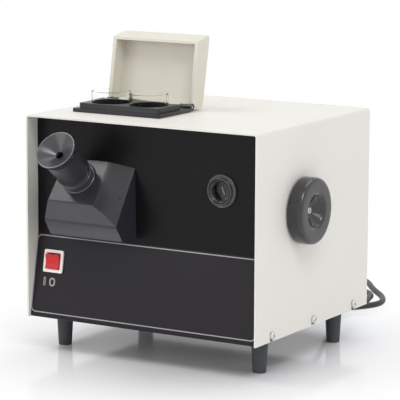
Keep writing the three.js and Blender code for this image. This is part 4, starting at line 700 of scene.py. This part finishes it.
def wheelTree():  # a disc and its hub, pierced by two drills at each station and by the bore
    tree, start, spots = stationTree("pierceWheel", wheelSizes)
    depths = {}
    for name, size, factor in (("sunk", "thick", -0.5), ("hubSunk", "hubLength", -0.5),
                               ("seat", "seatDepth", 2.0), ("hole", "thick", 4.0), ("bore", "hubLength", 4.0)):
        depths[name] = addNode(tree, "ShaderNodeMath", {1: factor}, {0: (start, size)}, operation="MULTIPLY")
    rods = {}
    for name, depth, sides in (("radius", (start, "thick"), 180), ("hub", (start, "hubLength"), 64),
                               ("seat", depths["seat"], 40), ("hole", depths["hole"], 40),
                               ("bore", depths["bore"], 48)):
        rods[name] = addNode(tree, "GeometryNodeMeshCylinder", {"Vertices": sides},
                             {"Radius": (start, name), "Depth": depth})
    hubMiddle = addNode(tree, "ShaderNodeMath", links={0: depths["hubSunk"], 1: (start, "thick")},
                        operation="SUBTRACT")
    solids, drills = [], []
    for rod, height in ((rods["radius"], depths["sunk"]), (rods["hub"], hubMiddle)):
        spot = addNode(tree, "ShaderNodeCombineXYZ", links={"Z": height})
        solids.append(addNode(tree, "GeometryNodeTransform", links={"Geometry": rod, "Translation": spot}))
    blank = addNode(tree, "GeometryNodeMeshBoolean", links={"Mesh 2": solids}, operation="UNION")
    for name in ("seat", "hole"):
        copies = addNode(tree, "GeometryNodeInstanceOnPoints", links={"Points": spots, "Instance": rods[name]})
        drills.append(addNode(tree, "GeometryNodeRealizeInstances", links={"Geometry": copies}))
    pierced = addNode(tree, "GeometryNodeMeshBoolean",
                      links={"Mesh 1": blank, "Mesh 2": drills + [rods["bore"]]}, operation="DIFFERENCE")
    return closeTree(tree, pierced, start)


def glassTree():  # a glass in every place but the last, each marked with its share of the scale
    tree, start, spots = stationTree("setGlasses", glassSizes)
    index = addNode(tree, "GeometryNodeInputIndex")
    last = addNode(tree, "ShaderNodeMath", {1: 1.0}, {0: (start, "stations")}, operation="SUBTRACT")
    share = addNode(tree, "ShaderNodeMath", links={0: index, 1: last}, operation="DIVIDE")
    filled = addNode(tree, "ShaderNodeMath", links={0: index, 1: last}, operation="LESS_THAN")
    marked = addNode(tree, "GeometryNodeStoreNamedAttribute", {"Name": "shade"},
                     {"Geometry": spots, "Value": share}, data_type="FLOAT", domain="POINT")
    glass = addNode(tree, "GeometryNodeMeshCylinder", {"Vertices": 40},
                    {"Radius": (start, "glass"), "Depth": (start, "glassThick")})
    sunk = addNode(tree, "ShaderNodeMath", {1: -wheel["glassSunk"]}, {0: (start, "glassThick")},
                   operation="MULTIPLY")
    spot = addNode(tree, "ShaderNodeCombineXYZ", links={"Z": sunk})
    lowered = addNode(tree, "GeometryNodeTransform", links={"Geometry": glass, "Translation": spot})
    copies = addNode(tree, "GeometryNodeInstanceOnPoints",
                     links={"Points": marked, "Selection": filled, "Instance": lowered})
    return closeTree(tree, copies, start)


# Colour standards in dyed glass, from pale straw through amber to a red that is almost black
standards = ("#F7F1C8", "#F2DE86", "#E6BC3E", "#D58A1E", "#B85412", "#8A2410", "#4A0D0A", "#250606")


def dyedGlass():
    material, tree = blankMaterial("dyedGlass")
    shade = addNode(tree, "ShaderNodeAttribute", attribute_name="shade")
    ramp = addNode(tree, "ShaderNodeValToRGB", links={"Fac": (shade, "Fac")})
    stops, last = ramp.color_ramp.elements, len(standards) - 1
    for i in range(1, last):
        stops.new(i / last)
    for stop, colour in zip(stops, standards):
        stop.color = linear(colour)
    shader = addNode(tree, "ShaderNodeBsdfPrincipled",
                     {"Roughness": 0.02, "IOR": 1.5, "Transmission Weight": 0.6}, {"Base Color": ramp})
    addNode(tree, "ShaderNodeOutputMaterial", links={"Surface": shader})
    return material


materials["dyedGlass"] = dyedGlass()


def wheelPiece(name, tree, sizes, finish, **where):
    values = {"stations": wheel["stations"], "firstAngle": (0, 0, math.radians(wheel["firstAngle"])),
              "finish": materials[finish], **{key: wheel[key] * mm for key in sizes}}
    mesh = evaluated(name, bpy.data.meshes.new(name + "_start"), tree, values)
    mesh.transform(wheelPlace)
    smooth(mesh)
    addPiece(name, mesh, finish, bodyOf["colour_wheel"], **where)


wheelPiece("colour_wheel_pierced", wheelTree(), wheelSizes, "blackAnodised", instead=("colour_wheel",))
wheelPiece("wheel_glasses", glassTree(), glassSizes, "dyedGlass", slot="clear_glass")

number = {"ring": 55.5, "size": 10.5, "wide": 0.9, "narrow": 0.72, "thick": 0.06, "window": 22.75,
          "count": 16, "steps": 3}


def makeNumbers():
    joined = bmesh.new()
    for k in range(number["count"]):
        curve = bpy.data.curves.new("number", "FONT")
        curve.body = str(k + 1)
        curve.align_x = curve.align_y = "CENTER"
        curve.size = number["size"] * mm
        curve.extrude = number["thick"] * mm
        curve.resolution_u = number["steps"]
        mesh = evaluated("number", curve)
        angle = math.radians(number["window"] + k * 360 / wheel["stations"])
        width = number["narrow" if len(curve.body) > 1 else "wide"]
        mesh.transform(wheelPlace @ Matrix.Rotation(angle, 4, "Z")
                       @ Matrix.Translation((number["ring"] * mm, 0, number["thick"] * mm))
                       @ Matrix.Diagonal((width, 1, 1, 1)))
        joined.from_mesh(mesh)
    mesh = bpy.data.meshes.new("wheel_numbers")
    joined.to_mesh(mesh)
    joined.free()
    addPiece("wheel_numbers", mesh, "whiteInk", bodyOf["colour_wheel"], slot="wheel_black")


makeNumbers()
print("colour wheel made")

# Mains lead, on the same route as in the part's source: out of the strain relief, round and into its coil

lead = {
    "diameter": 6.4, "length": 1.8, "sides": 20,  # its length is in metres
    "coilMiddle": (-40, 205), "coilRadius": 46, "pitch": 7.2, "clear": 0.3,
    "turnsPerLayer": 2.5, "climbTurns": 0.5, "riseTurns": 0.25, "stepsPerTurn": 36,
    "tail": 24, "plugHeight": 13.3,
    "route": [
        (40, 147.1, 52), (40, 153.5, 52), (40.3, 166, 50.6), (41.5, 177, 45.5), (43.4, 186, 36.5),
        (46, 193.6, 24.6), (49.6, 201, 12.8), (54.6, 208.6, 5.4), (61, 216.8, 3.5), (68.5, 226, 3.5),
        (74.8, 237, 3.5), (77.5, 248.5, 3.5), (75.6, 261, 3.5), (69.5, 274, 3.5), (60, 288, 3.5),
        (46.5, 303.5, 3.5), (33, 320.5, 3.5), (20, 338.5, 3.5), (4, 353.5, 3.5), (-17, 359, 3.5),
        (-37, 351, 3.5), (-46.5, 332, 3.5), (-40.5, 312, 3.5), (-22, 299.5, 3.5), (1, 296.5, 3.5),
        (23, 298, 3.5), (40.5, 293.5, 3.5), (51.5, 281, 3.5), (56.8, 265, 3.5), (60.6, 250.5, 3.5),
        (60, 238, 3.5), (52, 227.5, 3.5), (38, 222.5, 3.5), (20, 227, 3.5), (4, 237.5, 3.5),
        (-9, 246.8, 3.5), (-20.5, 251, 3.5), (-26.9, 251, 3.5), (-33.3, 251, 3.5)],
}


def curvedThrough(points, steps=8):  # a centripetal Catmull-Rom curve
    def mixed(p, q, i, j):
        return p * ((knots[j] - t) / (knots[j] - knots[i])) + q * ((t - knots[i]) / (knots[j] - knots[i]))

    ends = [points[0] * 2 - points[1]] + points + [points[-1] * 2 - points[-2]]
    made = []
    for a, b, c, d in zip(ends, ends[1:], ends[2:], ends[3:]):
        knots = [0]
        for p, q in ((a, b), (b, c), (c, d)):
            knots.append(knots[-1] + (q - p).length ** 0.5)
        for k in range(steps):
            t = knots[1] + (knots[2] - knots[1]) * k / steps
            ab, bc, cd = mixed(a, b, 0, 1), mixed(b, c, 1, 2), mixed(c, d, 2, 3)
            made.append(mixed(mixed(ab, bc, 0, 2), mixed(bc, cd, 1, 3), 1, 2))
    return made + [points[-1]]


def easeIn(share):
    t = min(max(share, 0), 1)
    return t * t * (3 - 2 * t)


def coilPoint(turn):  # a layer inwards on the bench, then one outwards on it, and up to the plug
    turns = 2 * lead["turnsPerLayer"]
    radius = lead["coilRadius"] - lead["pitch"] * min(turn, turns - turn)
    climb = easeIn((turn - lead["turnsPerLayer"]) / lead["climbTurns"] + 0.5)
    rise = easeIn((turn - turns) / lead["riseTurns"] + 1)
    low = lead["diameter"] / 2 + lead["clear"]
    angle = math.pi / 2 + turn * 2 * math.pi
    x, y = lead["coilMiddle"]
    return Vector((x + radius * math.cos(angle), y + radius * math.sin(angle),
                   low + climb * lead["pitch"] + rise * (lead["plugHeight"] - low - lead["pitch"])))


def leadLine():
    line = curvedThrough([Vector(point) for point in lead["route"]])
    turns = 2 * lead["turnsPerLayer"]
    steps = int(turns * lead["stepsPerTurn"])
    line += [coilPoint(turns * i / steps) for i in range(steps + 1)]
    x, y = lead["coilMiddle"]
    line.append(Vector((x - lead["tail"], y + lead["coilRadius"], lead["plugHeight"])))
    return [place(*point) for point in line]


def tubeMesh(name, line, radius, sides):
    rings, points = [], []
    ahead = (line[1] - line[0]).normalized()
    side = ahead.orthogonal().normalized()
    for i, spot in enumerate(line):
        ahead = (line[min(i + 1, len(line) - 1)] - line[max(i - 1, 0)]).normalized()
        side = (side - ahead * side.dot(ahead)).normalized()
        over = ahead.cross(side)
        rings.append(range(len(points), len(points) + sides))
        for k in range(sides):
            angle = 2 * math.pi * k / sides
            points.append(spot + (side * math.cos(angle) + over * math.sin(angle)) * radius)
    return meshFrom(name, points, facesBetween(rings, False) + [list(reversed(rings[0])), list(rings[-1])])


line = leadLine()
leadPiece = addPiece("mains_lead", tubeMesh("mains_lead", line, lead["diameter"] / 2 * mm, lead["sides"]),
                     "cablePvc", instead=("lead", "lead_coil"))

relief = {"neck": 6, "flange": 10, "flangeFrom": 4.6, "flangeTo": 7.1, "root": 7, "tip": 5, "length": 30,
          "grooves": 4, "groove": 0.9}


def reliefProfile():  # a neck in the panel, its flange, and a taper grooved in every second share
    start = relief["flangeTo"]
    points = [(0, 0), (relief["neck"], 0), (relief["neck"], relief["flangeFrom"]),
              (relief["flange"], relief["flangeFrom"]), (relief["flange"], start)]
    count = 2 * relief["grooves"] + 1
    pitch = relief["length"] / count
    for i in range(count):
        depth = relief["groove"] if i % 2 else 0
        for j in (i, i + 1):
            taper = (relief["root"] - relief["tip"]) * j / count
            points.append((relief["root"] - taper - depth, start + j * pitch))
    return points + [(0, start + relief["length"])]


turnedPiece("strain_relief", reliefProfile(), "rear", "cablePvc", ease=0.35, sides=48)
print("mains lead laid")

# Printed on the console: its silver line and the switch's two marks. Each is a closed loop with rounded
# corners, in millimetres across from the middle and up the slope from its fold.

console = {"fold": (0, -112, 38.1), "head": (0, -98.3, 116), "inkMm": 0.12}
prints = {
    "console_line": {"across": (-128, 128), "up": (0.45, 77.5), "corner": 5.5, "line": 1.0, "steps": 8},
    "switch_mark_off": {"across": (-109.2, -102.4), "up": (27.4, 35.9), "corner": 3.3, "line": 1.5,
                        "steps": 10},
    "switch_mark_on": {"across": (-116, -113.6), "up": (27.4, 35.9), "corner": 0.9, "line": 0.8, "steps": 3},
}
fold = place(*console["fold"])
slopeUp = (place(*console["head"]) - fold).normalized()
slopeOut = Vector((1, 0, 0)).cross(slopeUp)


def roundedLoop(look, inset):
    left, right = look["across"][0] + inset, look["across"][1] - inset
    low, high = look["up"][0] + inset, look["up"][1] - inset
    corner, steps = look["corner"] - inset, look["steps"]
    points = []
    for x, up, start in ((right - corner, high - corner, 0), (left + corner, high - corner, 90),
                         (left + corner, low + corner, 180), (right - corner, low + corner, 270)):
        for k in range(steps + 1):
            angle = math.radians(start + 90 * k / steps)
            points.append((x + corner * math.cos(angle), up + corner * math.sin(angle)))
    return points


def inkedLoop(name, look):
    outer, inner = roundedLoop(look, 0), roundedLoop(look, look["line"])
    rings, points = [], []
    for loop, out in ((outer, 0.0), (outer, console["inkMm"]), (inner, console["inkMm"]), (inner, 0.0)):
        rings.append(range(len(points), len(points) + len(loop)))
        points += [fold + Vector((x * mm, 0, 0)) + slopeUp * up * mm + slopeOut * out * mm for x, up in loop]
    return meshFrom(name, points, facesBetween(rings, True))


for name, look in prints.items():
    addPiece(name, inkedLoop(name, look), "silverInk", slot="console_grey")
print("console printed")

# Floor and light

stage = {"halfMm": 6000, "belowMm": 0.2, "nearMm": 115, "farMm": 310, "colour": "#FAFAFC", "roughness": 0.1,
         "polish": 0.2}
room = {"horizon": 1.0, "ceiling": 0.4, "lowShare": 0.08, "highShare": 0.6}


def shownTo(tree):  # 1 for what the camera sees, also in metal and through glass
    seen = addNode(tree, "ShaderNodeLightPath")
    direct = addNode(tree, "ShaderNodeMath", links={0: (seen, "Is Camera Ray"), 1: (seen, "Is Glossy Ray")},
                     operation="MAXIMUM")
    return addNode(tree, "ShaderNodeMath", links={0: direct, 1: (seen, "Is Transmission Ray")},
                   operation="MAXIMUM")


def makeFloor():  # pale and a little polished; plain white where the shadow has ended
    half, low = stage["halfMm"] * mm, -stage["belowMm"] * mm
    mesh = bpy.data.meshes.new("floor")
    mesh.from_pydata([(-half, -half, low), (half, -half, low), (half, half, low), (-half, half, low)], [],
                     [(0, 1, 2, 3)])
    material, tree = blankMaterial("polishedFloor")
    where = addNode(tree, "ShaderNodeTexCoord")
    away = addNode(tree, "ShaderNodeVectorMath", links={0: (where, "Object")}, operation="LENGTH")
    fade = addNode(tree, "ShaderNodeMapRange",
                   {"From Min": stage["nearMm"] * mm, "From Max": stage["farMm"] * mm},
                   {"Value": away}, interpolation_type="SMOOTHSTEP")
    bare = addNode(tree, "ShaderNodeMath", links={0: fade, 1: shownTo(tree)}, operation="MULTIPLY")
    matt = addNode(tree, "ShaderNodeBsdfDiffuse", {"Color": linear(stage["colour"])})
    sheen = addNode(tree, "ShaderNodeBsdfGlossy",
                    {"Color": linear(stage["colour"]), "Roughness": stage["roughness"]})
    gloss = addNode(tree, "ShaderNodeMixShader", {0: stage["polish"]}, {1: matt, 2: sheen})
    white = addNode(tree, "ShaderNodeEmission", {"Color": (1, 1, 1, 1), "Strength": 1.0})
    mixed = addNode(tree, "ShaderNodeMixShader", links={0: bare, 1: gloss, 2: white})
    addNode(tree, "ShaderNodeOutputMaterial", links={"Surface": mixed})
    mesh.materials.append(material)
    floor = bpy.data.objects.new("floor", mesh)
    scene.collection.objects.link(floor)


def makeWorld():  # pale at eye level and darker overhead, as round a bench; plain white where it shows
    world = bpy.data.worlds.new("studio")
    scene.world = world
    world.use_nodes = True
    tree = world.node_tree
    tree.nodes.clear()
    where = addNode(tree, "ShaderNodeTexCoord")
    height = addNode(tree, "ShaderNodeSeparateXYZ", links={"Vector": (where, "Generated")})
    level = addNode(tree, "ShaderNodeMapRange",
                    {"From Min": room["lowShare"], "From Max": room["highShare"],
                     "To Min": room["horizon"], "To Max": room["ceiling"]},
                    {"Value": (height, "Z")}, interpolation_type="SMOOTHSTEP")
    strength = addNode(tree, "ShaderNodeMix", {"B": 1.0}, {"Factor": shownTo(tree), "A": level})
    light = addNode(tree, "ShaderNodeBackground", {"Color": (1, 1, 1, 1)}, {"Strength": strength})
    addNode(tree, "ShaderNodeOutputWorld", links={"Surface": light})


plainLamp = {"distance": 2300, "aimHeight": 120, "colour": "#FFFFFF"}
lamps = {
    "key": {"azimuth": 47, "elevation": 50, "size": 1000, "watts": 15},
    "left": {"azimuth": -82, "elevation": 58, "size": 900, "watts": 9},
    "front": {"azimuth": -31, "elevation": 16, "size": 1400, "watts": 6},
    "overhead": {"azimuth": 170, "elevation": 68, "size": 1400, "watts": 7, "distance": 2000,
                 "colour": "#F3F9FF"},
    "sheen": {"azimuth": -58, "elevation": 53, "size": 500, "watts": 4.5},  # on the housing's slope
    "side": {"azimuth": 83, "elevation": 22, "size": 650, "watts": 2.5, "distance": 2400},  # in the knob's dish
}


def makeLamps():
    for name, own in lamps.items():
        lamp = {**plainLamp, **own}
        back = towards(lamp["azimuth"], lamp["elevation"])
        data = bpy.data.lights.new(name, "AREA")
        data.shape = "DISK"
        data.size = lamp["size"] * mm
        data.energy = lamp["watts"]
        data.color = linear(lamp["colour"])[:3]
        light = bpy.data.objects.new(name, data)
        light.location = place(0, 0, lamp["aimHeight"]) + back * lamp["distance"] * mm
        light.rotation_mode = "QUATERNION"
        light.rotation_quaternion = (-back).to_track_quat("-Z", "Y")
        scene.collection.objects.link(light)


makeFloor()
makeWorld()
makeLamps()
scene.view_settings.view_transform = "Standard"
print("floor and light placed")
